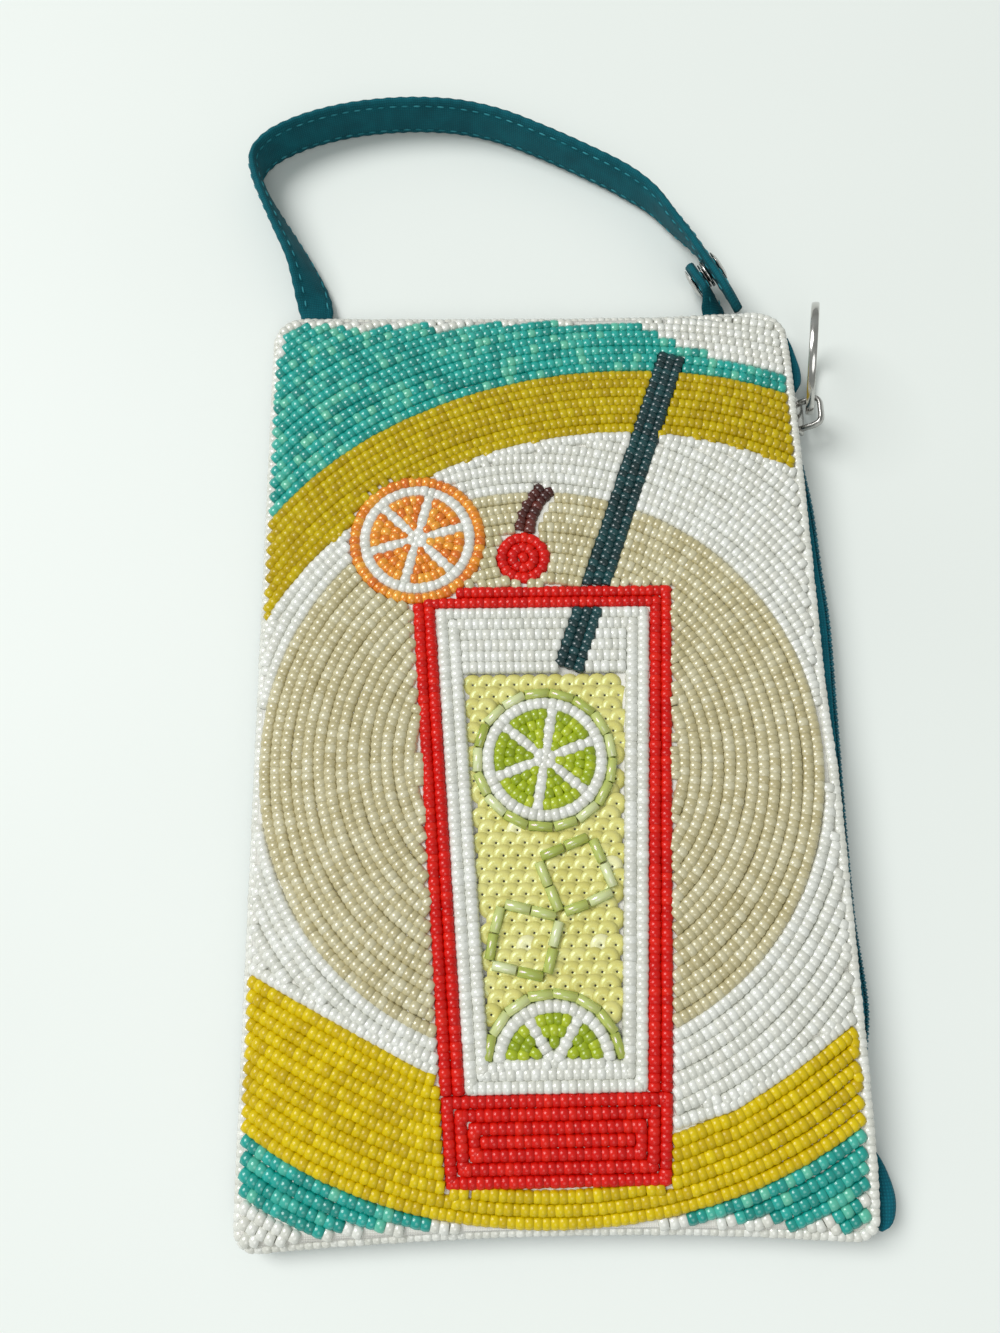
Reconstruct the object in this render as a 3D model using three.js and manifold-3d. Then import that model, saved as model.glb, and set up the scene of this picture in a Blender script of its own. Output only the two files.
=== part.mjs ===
// Beaded wristlet pouch lying on its back. Millimetres, +Z up out of the beaded front, +Y towards the
// strap, +X towards the zip side, origin under the middle of the bag on the surface it lies on.
import * as THREE from "three";
import { mergeVertices } from "three/addons/utils/BufferGeometryUtils.js";
import Module from "manifold-3d";

const wasm = await Module();
wasm.setup();

// Driving dimensions
const GAP = 0.3; // air left between neighbouring pieces
const BAG = {
  halfWidth: 55,
  top: 89.4,
  bottom: -90,
  topDip: 0.8, // how far the middle of the top edge sags below its corners
  bottomDip: 2, // how far the middle of the bottom edge rises above its corners
  right: 54.4, // where the zip side ends
  topRightIn: 0.8, // how far the zip side draws in above its middle
  drawnInFrom: -10,
  drawnInTo: 5,
  cornerTop: 6.5,
  cornerBottom: 4,
};
const BEAD = 1.9; // seed bead diameter, the thickness of the bead layer
const EDGING = { seamDrop: 2, zipDrop: 1.1 }; // how far the edging's middle lies below the bead tops
const CLOTH = 1.2; // wall of the front ground cloth and of the back
const CROWN = { middle: 11.8, dropLeft: 5.4, dropRight: 2.5, dropEnds: 5.4, sidePower: 5, endPower: 8 };
const BACK = { rise: 1.95, flatLeft: 43, flatEnd: 76, rim: 0.9, rightEdge: 55 };
// Edges of the colour fields: the disc, the yellow band above it and the one below it, and where two corners
// change from teal to white
const DISC = { x: -1, y: -7, r: 52.6 };
const UPPER_BAND = { outer: { x: 20, y: -30, r: 103 }, inner: { x: 17, y: -27, r: 85.6 } };
const LOWER_BAND = {
  outer: { x: 0, y: 10.3, r: 97 },
  inner: [[-62, -40.2], [-53, -45], [-36, -54], [-20, -62.5], [0, -70], [20, -71.2], [30, -68.4], [40, -62.8],
    [51, -55.6], [62, -49.5]],
};
const WHITE_CORNERS = { upper: { x: 20, y: -30, r: 107.4 }, upperFrom: 26, lower: { x: 0, y: -9, r: 90.2 } };
const GLASS = { top: 26, bottom: -80, topHalf: 25, bottomHalf: 19, frame: 4.4, base: 15 };
const ZIP = { tape: 0.6, coilHalfWidth: 1, coilHalfHeight: 0.7, low: 1.55, seamX: 50.6 };
const SLIDER = { y: 65, length: 8, halfWidth: 2.1, plate: 0.8, holeLength: 5, holeHeight: 3.8, bar: 0.9,
  bridgeWidth: 1.6 };
const RING = { radius: 10.7, radial: 1, axial: 1.6, swungOut: 8, raised: 25, tilt: 15 };
const STRAP = { width: 10, thick: 2, clear: 0.1, seamZ: 1.95 };
const SNAP = { radius: 3.4, gap: 1.6, clear: 0.25, post: 1.3, cap: 1, fromTabEnd: 4.1 };

// Zip line along the right side: the coil's distance from the middle at each station, and how far its face
// leans back from upright
const ZIP_LINE = [
  { y: -75, x: 54.2, lean: 8 },
  { y: -64, x: 54.6, lean: 8 },
  { y: -53, x: 56.4, lean: 8 },
  { y: -37, x: 55.7, lean: 8 },
  { y: -18, x: 55.9, lean: 8 },
  { y: 2, x: 56.4, lean: 8 },
  { y: 20, x: 56.8, lean: 8 },
  { y: 31, x: 56.3, lean: 8 },
  { y: 43, x: 55.9, lean: 12 },
  { y: 53, x: 54.9, lean: 26 },
  { y: 60, x: 54, lean: 40 },
  { y: 65, x: 53.9, lean: 40 },
  { y: 70, x: 53.9, lean: 40 },
  { y: 77, x: 53.7, lean: 40 },
];

// Strap stations from the left seam round to the snapped end. Lean is how far the band tips from standing
// on its edge, towards the left of its run; a row with z sits at that height instead of on the surface,
// and a row with width is pleated to that width where it goes into the seam.
const STRAP_RUN = [
  { x: -46.4, y: 84.6, lean: 90, z: STRAP.seamZ, width: 7 },
  { x: -46.4, y: 90.4, lean: 80, z: 2.3, width: 7 },
  { x: -47.2, y: 95.5, lean: 52, width: 9 },
  { x: -49.6, y: 102.5, lean: 32 },
  { x: -53.4, y: 110.3, lean: 24 },
  { x: -57, y: 117.5, lean: 14 },
  { x: -59.6, y: 123.3, lean: 6 },
  { x: -60.6, y: 128.2, lean: 0 },
  { x: -58, y: 132.6, lean: 0 },
  { x: -51.5, y: 136.8, lean: 0 },
  { x: -42.3, y: 140, lean: 0 },
  { x: -33, y: 141.6, lean: 0 },
  { x: -24, y: 142, lean: 0 },
  { x: -15, y: 141.2, lean: 0 },
  { x: -6, y: 138.7, lean: 0 },
  { x: 3, y: 134.5, lean: 0 },
  { x: 12, y: 129.6, lean: 0 },
  { x: 21, y: 124.1, lean: 0 },
  { x: 27.4, y: 118.7, lean: -6 },
  { x: 32, y: 112.1, lean: -15, z: 5.5 },
  { x: 35.4, y: 106.7, lean: -23, z: 6.3 },
  { x: 37.66, y: 102.6, lean: -27, z: 6.63 },
  { x: 40.86, y: 96.6, lean: -27, z: 6.63 },
  { x: 42.6, y: 93.4, lean: -27, z: 6.3 },
  { x: 44.4, y: 90.5, lean: -27, z: 5.2 },
];
const TAB_RUN = [
  { x: 39.6, y: 84.6, lean: 90, z: STRAP.seamZ, width: 4.8 },
  { x: 39.7, y: 89.9, lean: 84, z: 2.2, width: 4.8 },
  { x: 39.4, y: 92.1, lean: 54, width: 7 },
  { x: 38.2, y: 94.7, lean: 27 },
  { x: 36.5, y: 97.9, lean: 27 },
  { x: 34.5, y: 101.7, lean: 27 },
];

// Geometry helpers
const radians = THREE.MathUtils.degToRad;

// Closed surface through matching cross-sections; the last joins the first when the loop is closed.
function loft(sections, closed = false) {
  const count = sections[0].length;
  const position = sections.flat().flatMap((p) => [p.x, p.y, p.z]);
  const index = [];
  const spans = closed ? sections.length : sections.length - 1;
  for (let i = 0; i < spans; i++) {
    const a = i * count;
    const b = ((i + 1) % sections.length) * count;
    for (let j = 0; j < count; j++) {
      const k = (j + 1) % count;
      index.push(a + j, a + k, b + k, a + j, b + k, b + j);
    }
  }
  if (!closed) {
    const last = (sections.length - 1) * count;
    for (let j = 1; j < count - 1; j++) {
      index.push(0, j + 1, j, last, last + j, last + j + 1);
    }
  }
  const geometry = new THREE.BufferGeometry();
  geometry.setAttribute("position", new THREE.Float32BufferAttribute(position, 3));
  geometry.setIndex(index);
  return geometry;
}

// A geometry as a solid for cutting and joining, turned to face outwards.
function solid(geometry) {
  const bare = new THREE.BufferGeometry().setAttribute("position", geometry.getAttribute("position"));
  if (geometry.index) bare.setIndex(geometry.index);
  const merged = mergeVertices(bare, 1e-4);
  const triVerts = new Uint32Array(merged.index.array);
  const p = merged.attributes.position;
  let volume = 0;
  const [a, b, c] = [new THREE.Vector3(), new THREE.Vector3(), new THREE.Vector3()];
  for (let i = 0; i < triVerts.length; i += 3) {
    a.fromBufferAttribute(p, triVerts[i]);
    b.fromBufferAttribute(p, triVerts[i + 1]);
    c.fromBufferAttribute(p, triVerts[i + 2]);
    volume += a.dot(b.cross(c));
  }
  if (volume < 0) triVerts.reverse();
  return new wasm.Manifold(new wasm.Mesh({ numProp: 3, vertProperties: p.array, triVerts }));
}

// The vertical prism of a flat shape, tall enough to cut through the whole bag.
function prism(shape, low = -10, high = 30, curveSegments = 10) {
  const settings = { depth: high - low, bevelEnabled: false, curveSegments };
  return solid(new THREE.ExtrudeGeometry(shape, settings).translate(0, 0, low));
}

function circle({ x, y, r }, grow = 0) {
  return new THREE.Shape().absarc(x, y, r + grow, 0, 2 * Math.PI);
}

function polygon(points) {
  return new THREE.Shape(points.map(([x, y]) => new THREE.Vector2(x, y)));
}

const bag = new THREE.Group();
bag.name = "beaded_pouch";

function add(name, made, color, look = {}) {
  const mesh = made.getMesh();
  const geometry = new THREE.BufferGeometry();
  geometry.setAttribute("position", new THREE.BufferAttribute(mesh.vertProperties, 3));
  geometry.setIndex(new THREE.BufferAttribute(mesh.triVerts, 1));
  geometry.computeVertexNormals();
  const part = new THREE.Mesh(geometry, new THREE.MeshStandardMaterial({ color, roughness: 0.8, ...look }));
  part.name = name;
  bag.add(part);
}

// Front surface: the height of the bead tops, flat in the middle and falling towards the edges
function beadTop(x, y) {
  const drop = x < 0 ? CROWN.dropLeft : CROWN.dropRight;
  const side = drop * Math.min(1.2, Math.abs(x) / BAG.halfWidth) ** CROWN.sidePower;
  const end = CROWN.dropEnds * Math.min(1.1, Math.abs(y) / BAG.top) ** CROWN.endPower;
  return CROWN.middle - side - end + (side * end) / CROWN.dropEnds;
}

// Bag outline moved inwards by an inset, with the top and bottom edges bowed.
function outline(inset, right = BAG.right - inset) {
  const left = -BAG.halfWidth + inset;
  const top = BAG.top - inset;
  const bottom = BAG.bottom + inset;
  const rt = Math.max(1.5, BAG.cornerTop - inset);
  const rb = Math.max(1.5, BAG.cornerBottom - inset);
  const shape = new THREE.Shape();
  shape.moveTo(left, bottom + rb);
  shape.lineTo(left, top - rt);
  shape.absarc(left + rt, top - rt, rt, Math.PI, Math.PI / 2, true);
  const topRight = right - BAG.topRightIn;
  shape.quadraticCurveTo(0, top - 2 * BAG.topDip, topRight - rt, top);
  shape.absarc(topRight - rt, top - rt, rt, Math.PI / 2, 0, true);
  shape.lineTo(topRight, BAG.drawnInTo);
  shape.lineTo(right, BAG.drawnInFrom);
  shape.lineTo(right, bottom + rb);
  shape.absarc(right - rb, bottom + rb, rb, 0, -Math.PI / 2, true);
  shape.quadraticCurveTo(0, bottom + 2 * BAG.bottomDip, left + rb, bottom);
  shape.absarc(left + rb, bottom + rb, rb, -Math.PI / 2, -Math.PI, true);
  return shape;
}

// Slab between two height functions on a grid that is finer towards the edges. Its upper and lower face
// split each cell along the same diagonal, so slabs stacked on one another stay apart.
function slab(top, bottom, cellsX, cellsY) {
  const steps = (cells, reach) => Array.from({ length: cells + 1 }, (_, i) =>
    reach * Math.sin((i / cells - 0.5) * Math.PI));
  const xs = steps(cellsX, 60);
  const ys = steps(cellsY, 94);
  const face = (height) => ys.flatMap((y) => xs.flatMap((x) => [x, y, height(x, y)]));
  const position = [top, bottom].flatMap(face);
  const row = cellsX + 1;
  const under = row * (cellsY + 1);
  const index = [];
  const wall = (p, q) => index.push(p, under + p, under + q, p, under + q, q);
  for (let j = 0; j < cellsY; j++) {
    for (let i = 0; i < cellsX; i++) {
      const a = j * row + i;
      const d = a + row + 1;
      index.push(a, a + 1, d, a, d, d - 1);
      index.push(under + a, under + d, under + a + 1, under + a, under + d - 1, under + d);
    }
    wall((j + 1) * row, j * row);
    wall(j * row + cellsX, (j + 1) * row + cellsX);
  }
  for (let i = 0; i < cellsX; i++) {
    wall(i, i + 1);
    wall(cellsY * row + i + 1, cellsY * row + i);
  }
  const geometry = new THREE.BufferGeometry();
  geometry.setAttribute("position", new THREE.Float32BufferAttribute(position, 3));
  geometry.setIndex(index);
  return solid(geometry);
}

// Front ground cloth, inside the bead edging
const field = outline(BEAD + GAP);
const fieldPrism = prism(field);
const clothTop = (x, y) => beadTop(x, y) - BEAD;
const clothUnder = (x, y) => clothTop(x, y) - CLOTH;
add("front_panel", slab(clothTop, clothUnder, 14, 22).intersect(fieldPrism), 0xd8d7ce);

// Bead layer, cut into its colour fields
const beadLayer = slab(beadTop, (x, y) => clothTop(x, y) + GAP, 14, 22).intersect(fieldPrism);

// The layer inside a circle and outside it, half a gap back from the circle on either side.
const CIRCLE_STEPS = 30;
const inside = (edge) => prism(circle(edge, -GAP / 2), -10, 30, CIRCLE_STEPS);
const outside = (made, edge) => made.subtract(prism(circle(edge, GAP / 2), -10, 30, CIRCLE_STEPS));

// A rectangle that keeps one part of the layer.
function block(left, bottom, right, top) {
  return prism(polygon([[left, bottom], [right, bottom], [right, top], [left, top]]));
}

function glassShape(grow, top, bottom) {
  const slope = (GLASS.topHalf - GLASS.bottomHalf) / (GLASS.top - GLASS.bottom);
  const half = (y) => GLASS.bottomHalf + slope * (y - GLASS.bottom) + grow;
  return polygon([[-half(bottom), bottom], [half(bottom), bottom], [half(top), top], [-half(top), top]]);
}

const glassOuter = prism(glassShape(0, GLASS.top, GLASS.bottom));
const glassCut = prism(glassShape(GAP, GLASS.top + GAP, GLASS.bottom - GAP));
const drinkTop = GLASS.top - GLASS.frame;
const drinkBottom = GLASS.bottom + GLASS.base;
const drinkOuter = prism(glassShape(-GLASS.frame, drinkTop, drinkBottom));
const drinkCut = prism(glassShape(GAP - GLASS.frame, drinkTop + GAP, drinkBottom - GAP));
const background = beadLayer.subtract(glassCut);

// Each connected piece of a field is one node, named by the side of the bag it lies on.
function addField(name, made, color) {
  const pieces = made.decompose().filter((piece) => piece.volume() > 2);
  const where = (piece) => {
    const { min, max } = piece.boundingBox();
    const across = (min[0] + max[0]) / 2;
    const along = (min[1] + max[1]) / 2;
    const side = Math.abs(across) < 12 ? "" : across < 0 ? "_left" : "_right";
    return pieces.length === 1 ? "" : (along > DISC.y ? "_upper" : "_lower") + side;
  };
  pieces.forEach((piece) => add(name + where(piece), piece, color, { roughness: 0.3 }));
}

const upperHalf = background.intersect(block(-70, DISC.y + GAP / 2, 70, 100));
const lowerHalf = background.intersect(block(-70, -100, 70, DISC.y - GAP / 2));
const lowerEdge = LOWER_BAND.inner;
const shifted = (by) => lowerEdge.map(([x, y]) => [x, y + by]);
const aboveEdge = prism(polygon([...shifted(GAP / 2), [62, 20], [-62, 20]]));
const belowEdge = prism(polygon([[-62, -100], [62, -100], ...shifted(-GAP / 2).reverse()]));

const betweenBands = upperHalf.intersect(inside(UPPER_BAND.inner)).add(lowerHalf.intersect(aboveEdge));
const white = outside(betweenBands, DISC);
const yellow = outside(upperHalf, UPPER_BAND.inner).intersect(inside(UPPER_BAND.outer))
  .add(lowerHalf.intersect(belowEdge).intersect(inside(LOWER_BAND.outer)));
const tealUpper = outside(upperHalf, UPPER_BAND.outer);
const tealLower = outside(lowerHalf, LOWER_BAND.outer);
const cornerFrom = WHITE_CORNERS.upperFrom;
const corners = outside(tealUpper, WHITE_CORNERS.upper).intersect(block(cornerFrom + GAP / 2, 0, 70, 100))
  .add(outside(tealLower, WHITE_CORNERS.lower).intersect(block(-70, -100, 0, 0)));
const teal = tealUpper.intersect(inside(WHITE_CORNERS.upper))
  .add(outside(tealUpper, { ...WHITE_CORNERS.upper, r: WHITE_CORNERS.upper.r - GAP })
    .intersect(block(-70, 0, cornerFrom - GAP / 2, 100)))
  .add(tealLower.intersect(inside(WHITE_CORNERS.lower)))
  .add(tealLower.intersect(block(0, -100, 70, 0)));

addField("bead_disc", background.intersect(inside(DISC)), 0xcdbf92);
addField("bead_white", white, 0xe6e6e0);
addField("bead_yellow", yellow, 0xd0b400);
addField("bead_teal", teal, 0x2fae9f);
addField("bead_corner", corners, 0xe6e6e0);
add("bead_glass", beadLayer.intersect(glassOuter).subtract(drinkCut), 0xd61e10, { roughness: 0.3 });
add("bead_drink", beadLayer.intersect(drinkOuter), 0xded58a, { roughness: 0.3 });

// Bead edging, one string of beads round the front's edge
const EDGE_SIDES = 8;
const EDGE_STEP = 10;
const edgePath = outline(BEAD / 2).curves.flatMap((curve) => {
  const steps = curve.isEllipseCurve ? 5 : Math.ceil(curve.getLength() / EDGE_STEP);
  return curve.getPoints(steps).slice(0, steps);
});
const edgeRings = edgePath.map((p, i) => {
  const before = edgePath.at(i - 1);
  const after = edgePath[(i + 1) % edgePath.length];
  const run = p.clone().sub(before).normalize().add(after.clone().sub(p).normalize()).normalize();
  const zipSide = THREE.MathUtils.smoothstep(p.x, 25, 50);
  const z = beadTop(p.x, p.y) - THREE.MathUtils.lerp(EDGING.seamDrop, EDGING.zipDrop, zipSide);
  return Array.from({ length: EDGE_SIDES }, (_, k) => {
    const turn = (2 * Math.PI * k) / EDGE_SIDES;
    const out = (BEAD / 2) * Math.cos(turn);
    return new THREE.Vector3(p.x + run.y * out, p.y - run.x * out, z + (BEAD / 2) * Math.sin(turn));
  });
});
add("bead_edging", solid(loft(edgeRings, true)), 0xe9e8e2, { roughness: 0.3 });

// Back panel: flat on the surface, its rim turned up to the seam except along the zip
function backUnder(x, y) {
  const ramp = (d, flat, edge) => THREE.MathUtils.smoothstep(d, flat, edge);
  const side = x < 0 ? ramp(-x, BACK.flatLeft, BAG.halfWidth - BACK.rim) : 0;
  const end = ramp(Math.abs(y), BACK.flatEnd, BAG.top - BACK.rim);
  return BACK.rise * (1 - (1 - side) * (1 - end));
}

// Slots in the back's rim where the strap and the tab go into the seam.
function seamSlot(row) {
  const half = row.width / 2 + GAP;
  return prism(polygon([[row.x - half, row.y - GAP], [row.x + half, row.y - GAP], [row.x + half, 95],
    [row.x - half, 95]]), CLOTH - 0.6);
}

const backShape = outline(BACK.rim, BACK.rightEdge);
const back = slab((x, y) => backUnder(x, y) + CLOTH, backUnder, 14, 22)
  .intersect(prism(backShape))
  .subtract(seamSlot(STRAP_RUN[0]))
  .subtract(seamSlot(TAB_RUN[0]));
add("back_panel", back, 0x14506a);

// Zip: two tapes from the panels' edges to the coil, and the coil between them
const zipCurve = new THREE.CatmullRomCurve3(ZIP_LINE.map(({ x, y, lean }) => new THREE.Vector3(x, y, lean)));

function zipStation(y) {
  let [low, high] = [0, 1];
  for (let i = 0; i < 40; i++) {
    const middle = (low + high) / 2;
    if (zipCurve.getPoint(middle).y < y) low = middle;
    else high = middle;
  }
  const found = zipCurve.getPoint(low);
  const lean = radians(found.z);
  const seamTop = clothUnder(ZIP.seamX, y);
  return {
    seamTop,
    coil: new THREE.Vector3(found.x, y, (ZIP.low + seamTop) / 2),
    normal: new THREE.Vector3(Math.cos(lean), 0, Math.sin(lean)),
    up: new THREE.Vector3(-Math.sin(lean), 0, Math.cos(lean)),
  };
}

// Flat band of tape in the zip's cross-section, from its sewn edge to the coil.
function tapeSection(sewn, meeting) {
  const across = meeting.clone().sub(sewn).normalize();
  const up = new THREE.Vector3(-across.z, 0, across.x).multiplyScalar(ZIP.tape / 2);
  return [sewn.clone().sub(up), meeting.clone().sub(up), meeting.clone().add(up), sewn.clone().add(up)];
}

function zipRows(from, to, steps) {
  return Array.from({ length: steps + 1 }, (_, i) => from + ((to - from) * i) / steps);
}
const tapeRows = zipRows(-75, 76, 26);
const meet = ZIP.coilHalfWidth + ZIP.tape / 2 + GAP;
const frontTape = tapeRows.map((y) => {
  const { coil, seamTop, up } = zipStation(y);
  const sewn = new THREE.Vector3(ZIP.seamX, y, seamTop - 3 * GAP - ZIP.tape / 2);
  return tapeSection(sewn, coil.clone().addScaledVector(up, meet));
});
const backTape = tapeRows.map((y) => {
  const { coil, up } = zipStation(y);
  const sewn = new THREE.Vector3(ZIP.seamX, y, ZIP.low + ZIP.tape / 2 + 0.05);
  return tapeSection(sewn, coil.clone().addScaledVector(up, -meet - GAP));
});
add("zip_tape_front", solid(loft(frontTape)), 0x14506a);
add("zip_tape_back", solid(loft(backTape)), 0x14506a);

// Rounded bar for the closed coil, at right angles to the zip's face.
const coilOutline = [[-1, -0.5], [-0.6, -1], [0.6, -1], [1, -0.5], [1, 0.4], [0.6, 1], [-0.6, 1], [-1, 0.4]];
function coilSection(y) {
  const { coil, up, normal } = zipStation(y);
  return coilOutline.map(([w, h]) => coil.clone()
    .addScaledVector(up, w * ZIP.coilHalfWidth)
    .addScaledVector(normal, h * ZIP.coilHalfHeight));
}
const sliderHigh = SLIDER.y + SLIDER.length / 2;
add("zip_coil", solid(loft(zipRows(-75, SLIDER.y - GAP, 24).map(coilSection))), 0x175a6b);
add("zip_coil_end", solid(loft(zipRows(sliderHigh + GAP, 76, 2).map(coilSection))), 0x175a6b);

// Tape ends that show past the bag's edge at the top and bottom of the zip
function tapeEnd(points, low, high) {
  const shape = new THREE.Shape();
  shape.moveTo(...points[0]);
  shape.splineThru(points.slice(1).map(([x, y]) => new THREE.Vector2(x, y)));
  return prism(shape, low, high, 4);
}
const bottomEnd = [[55.4, -75.6], [57.2, -79], [58.4, -84], [57.4, -87.6], [55.4, -88.8]];
const topEnd = [[54.9, 84.2], [56, 80.5], [56.9, 76.5], [56.7, 73.5], [55.8, 72]];
add("zip_bottom_end", tapeEnd(bottomEnd, 1.4, 4.6), 0x14506a);
add("zip_top_end", tapeEnd(topEnd, 1.6, 4.8), 0x14506a);

// Zip slider: outer plate, keel between the coil's ends and a bridge for the ring
const seat = zipStation(SLIDER.y);
const sliderFrame = new THREE.Matrix4().makeBasis(new THREE.Vector3(0, 1, 0), seat.normal, seat.up);
sliderFrame.setPosition(seat.coil);
const plateLow = ZIP.coilHalfHeight + GAP;
const plateHigh = plateLow + SLIDER.plate;
const holeMiddle = plateHigh + 0.1 + SLIDER.holeHeight / 2;

// A box in the slider's own axes: along the zip, out from its face, and across it.
function sliderBox(along, out, across) {
  const spans = [along, out, across];
  const geometry = new THREE.BoxGeometry(...spans.map(([low, high]) => high - low));
  return solid(geometry.translate(...spans.map(([low, high]) => (low + high) / 2)));
}

const half = SLIDER.length / 2;
const wide = SLIDER.halfWidth;
const shield = polygon([
  [-half, -0.62 * wide], [-half + 1.2, -0.78 * wide], [half - 2.6, -wide], [half, -0.75 * wide],
  [half, 0.75 * wide], [half - 2.6, wide], [-half + 1.2, 0.78 * wide], [-half, 0.62 * wide],
]);
const plate = solid(new THREE.ExtrudeGeometry(shield, { depth: SLIDER.plate, bevelEnabled: false })
  .rotateX(Math.PI / 2).translate(0, plateHigh, 0));
const keel = sliderBox([GAP, half - 0.4], [-0.6, plateLow + 0.2], [-0.8, 0.8]);
const archOuter = {
  along: SLIDER.holeLength / 2 + 1.1,
  top: holeMiddle + SLIDER.holeHeight / 2 + SLIDER.bar,
};
const archShape = new THREE.Shape();
archShape.moveTo(-archOuter.along, plateLow + 0.2);
archShape.lineTo(archOuter.along, plateLow + 0.2);
archShape.lineTo(archOuter.along, archOuter.top - 1.4);
archShape.quadraticCurveTo(archOuter.along, archOuter.top, archOuter.along - 1.4, archOuter.top);
archShape.lineTo(1.4 - archOuter.along, archOuter.top);
archShape.quadraticCurveTo(-archOuter.along, archOuter.top, -archOuter.along, archOuter.top - 1.4);
const holeShape = new THREE.Path();
const holeHalf = { along: SLIDER.holeLength / 2, out: SLIDER.holeHeight / 2 };
holeShape.moveTo(-holeHalf.along, holeMiddle - holeHalf.out);
holeShape.lineTo(-holeHalf.along, holeMiddle + holeHalf.out);
holeShape.lineTo(holeHalf.along, holeMiddle + holeHalf.out);
holeShape.lineTo(holeHalf.along, holeMiddle - holeHalf.out);
archShape.holes.push(holeShape);
const arch = solid(new THREE.ExtrudeGeometry(archShape, { depth: SLIDER.bridgeWidth, bevelEnabled: false,
  curveSegments: 4 }).translate(0, 0, -SLIDER.bridgeWidth / 2));
const slider = plate.add(arch).add(keel);
add("zip_slider", slider.transform(sliderFrame.toArray()), 0xb9bbbd, { metalness: 1, roughness: 0.25 });

// Pull ring through the bridge, swung out a little and standing on its edge
const hinge = new THREE.Vector3(0, holeMiddle, 0).applyMatrix4(sliderFrame);
const ringUp = new THREE.Vector3(-Math.sin(radians(RING.tilt)), 0, Math.cos(radians(RING.tilt)));
const ringSide = new THREE.Vector3(ringUp.z, 0, -ringUp.x);
const ringAlong = new THREE.Vector3(0, Math.cos(radians(RING.swungOut)), 0)
  .addScaledVector(ringSide, Math.sin(radians(RING.swungOut)));
const ringAxis = new THREE.Vector3().crossVectors(ringAlong, ringUp);
const ringMiddle = hinge.clone()
  .addScaledVector(ringAlong, RING.radius * Math.cos(radians(RING.raised)))
  .addScaledVector(ringUp, RING.radius * Math.sin(radians(RING.raised)));
const wire = [[-1, -0.6], [-0.6, -1], [0.6, -1], [1, -0.6], [1, 0.6], [0.6, 1],
  [-0.6, 1], [-1, 0.6]];
const RING_STEPS = 32;
const ringSections = Array.from({ length: RING_STEPS }, (_, i) => {
  const turn = (2 * Math.PI * i) / RING_STEPS;
  const outward = ringAlong.clone().multiplyScalar(Math.cos(turn)).addScaledVector(ringUp, Math.sin(turn));
  return wire.map(([r, a]) => ringMiddle.clone()
    .addScaledVector(outward, RING.radius + (r * RING.radial) / 2)
    .addScaledVector(ringAxis, (a * RING.axial) / 2));
});
add("pull_ring", solid(loft(ringSections, true)), 0xb9bbbd, { metalness: 1, roughness: 0.2 });

// Strap and tab: flat bands swept along their runs
const bandEdge = [[-1, -0.5], [-0.93, -1], [0.93, -1], [1, -0.5], [1, 0.5], [0.93, 1], [-0.93, 1], [-1, 0.5]];

// Points and directions of a band along a run, evenly spaced.
function bandStations(run, steps) {
  const lift = (row) => {
    const lean = radians(row.lean);
    const width = row.width ?? STRAP.width;
    const rest = (width * Math.cos(lean) + STRAP.thick * Math.abs(Math.sin(lean))) / 2 + STRAP.clear;
    return row.z ?? rest;
  };
  const path = new THREE.CatmullRomCurve3(run.map((row) => new THREE.Vector3(row.x, row.y, lift(row))));
  const leans = new THREE.CatmullRomCurve3(run.map((row) =>
    new THREE.Vector3(row.lean, row.width ?? STRAP.width, 0)));
  return Array.from({ length: steps + 1 }, (_, i) => {
    const t = path.getUtoTmapping(i / steps);
    const lean = radians(leans.getPoint(t).x);
    const reach = leans.getPoint(t).y / 2;
    const forward = path.getTangent(t).setZ(0).normalize();
    const left = new THREE.Vector3(-forward.y, forward.x, 0);
    const across = new THREE.Vector3(0, 0, Math.cos(lean)).addScaledVector(left, Math.sin(lean));
    const face = new THREE.Vector3(0, 0, Math.sin(lean)).addScaledVector(left, -Math.cos(lean));
    return { point: path.getPoint(t), forward, across, face, reach };
  });
}

// A band through its stations, with its free end cut half round.
function band(stations) {
  const whole = solid(loft(stations.map(({ point, across, face, reach }) => bandEdge.map(([w, h]) =>
    point.clone().addScaledVector(across, w * reach).addScaledVector(face, (h * STRAP.thick) / 2)))));
  const { point, forward, across, face, reach } = stations.at(-1);
  const beyond = 2 * reach;
  const corners = polygon([[-reach, -beyond], [reach, -beyond], [reach, beyond], [-reach, beyond]]);
  const offcut = prism(corners, -STRAP.thick, STRAP.thick)
    .subtract(prism(circle({ x: -reach, y: 0, r: reach }), -2 * STRAP.thick, 2 * STRAP.thick, 12));
  const endFrame = new THREE.Matrix4().makeBasis(forward, across, face).setPosition(point);
  return whole.subtract(offcut.transform(endFrame.toArray()));
}

const strapStations = bandStations(STRAP_RUN, 56);
const tabStations = bandStations(TAB_RUN, 16);

// Snap: its two halves are turned on one line through the tab and the strap
const tabEnd = tabStations.at(-1);
const snapAxis = tabEnd.face;
const snapMiddle = tabEnd.point.clone().addScaledVector(tabEnd.forward, -SNAP.fromTabEnd)
  .addScaledVector(snapAxis, STRAP.thick / 2);
const snapFrame = new THREE.Matrix4().makeBasis(tabEnd.forward.clone(), snapAxis,
  new THREE.Vector3().crossVectors(tabEnd.forward, snapAxis));
snapFrame.setPosition(snapMiddle);

// A turned half, from radius and height along the snap's line.
function turned(profile) {
  const geometry = new THREE.LatheGeometry(profile.map(([r, h]) => new THREE.Vector2(r, h)), 20);
  return solid(geometry).transform(snapFrame.toArray());
}

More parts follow.
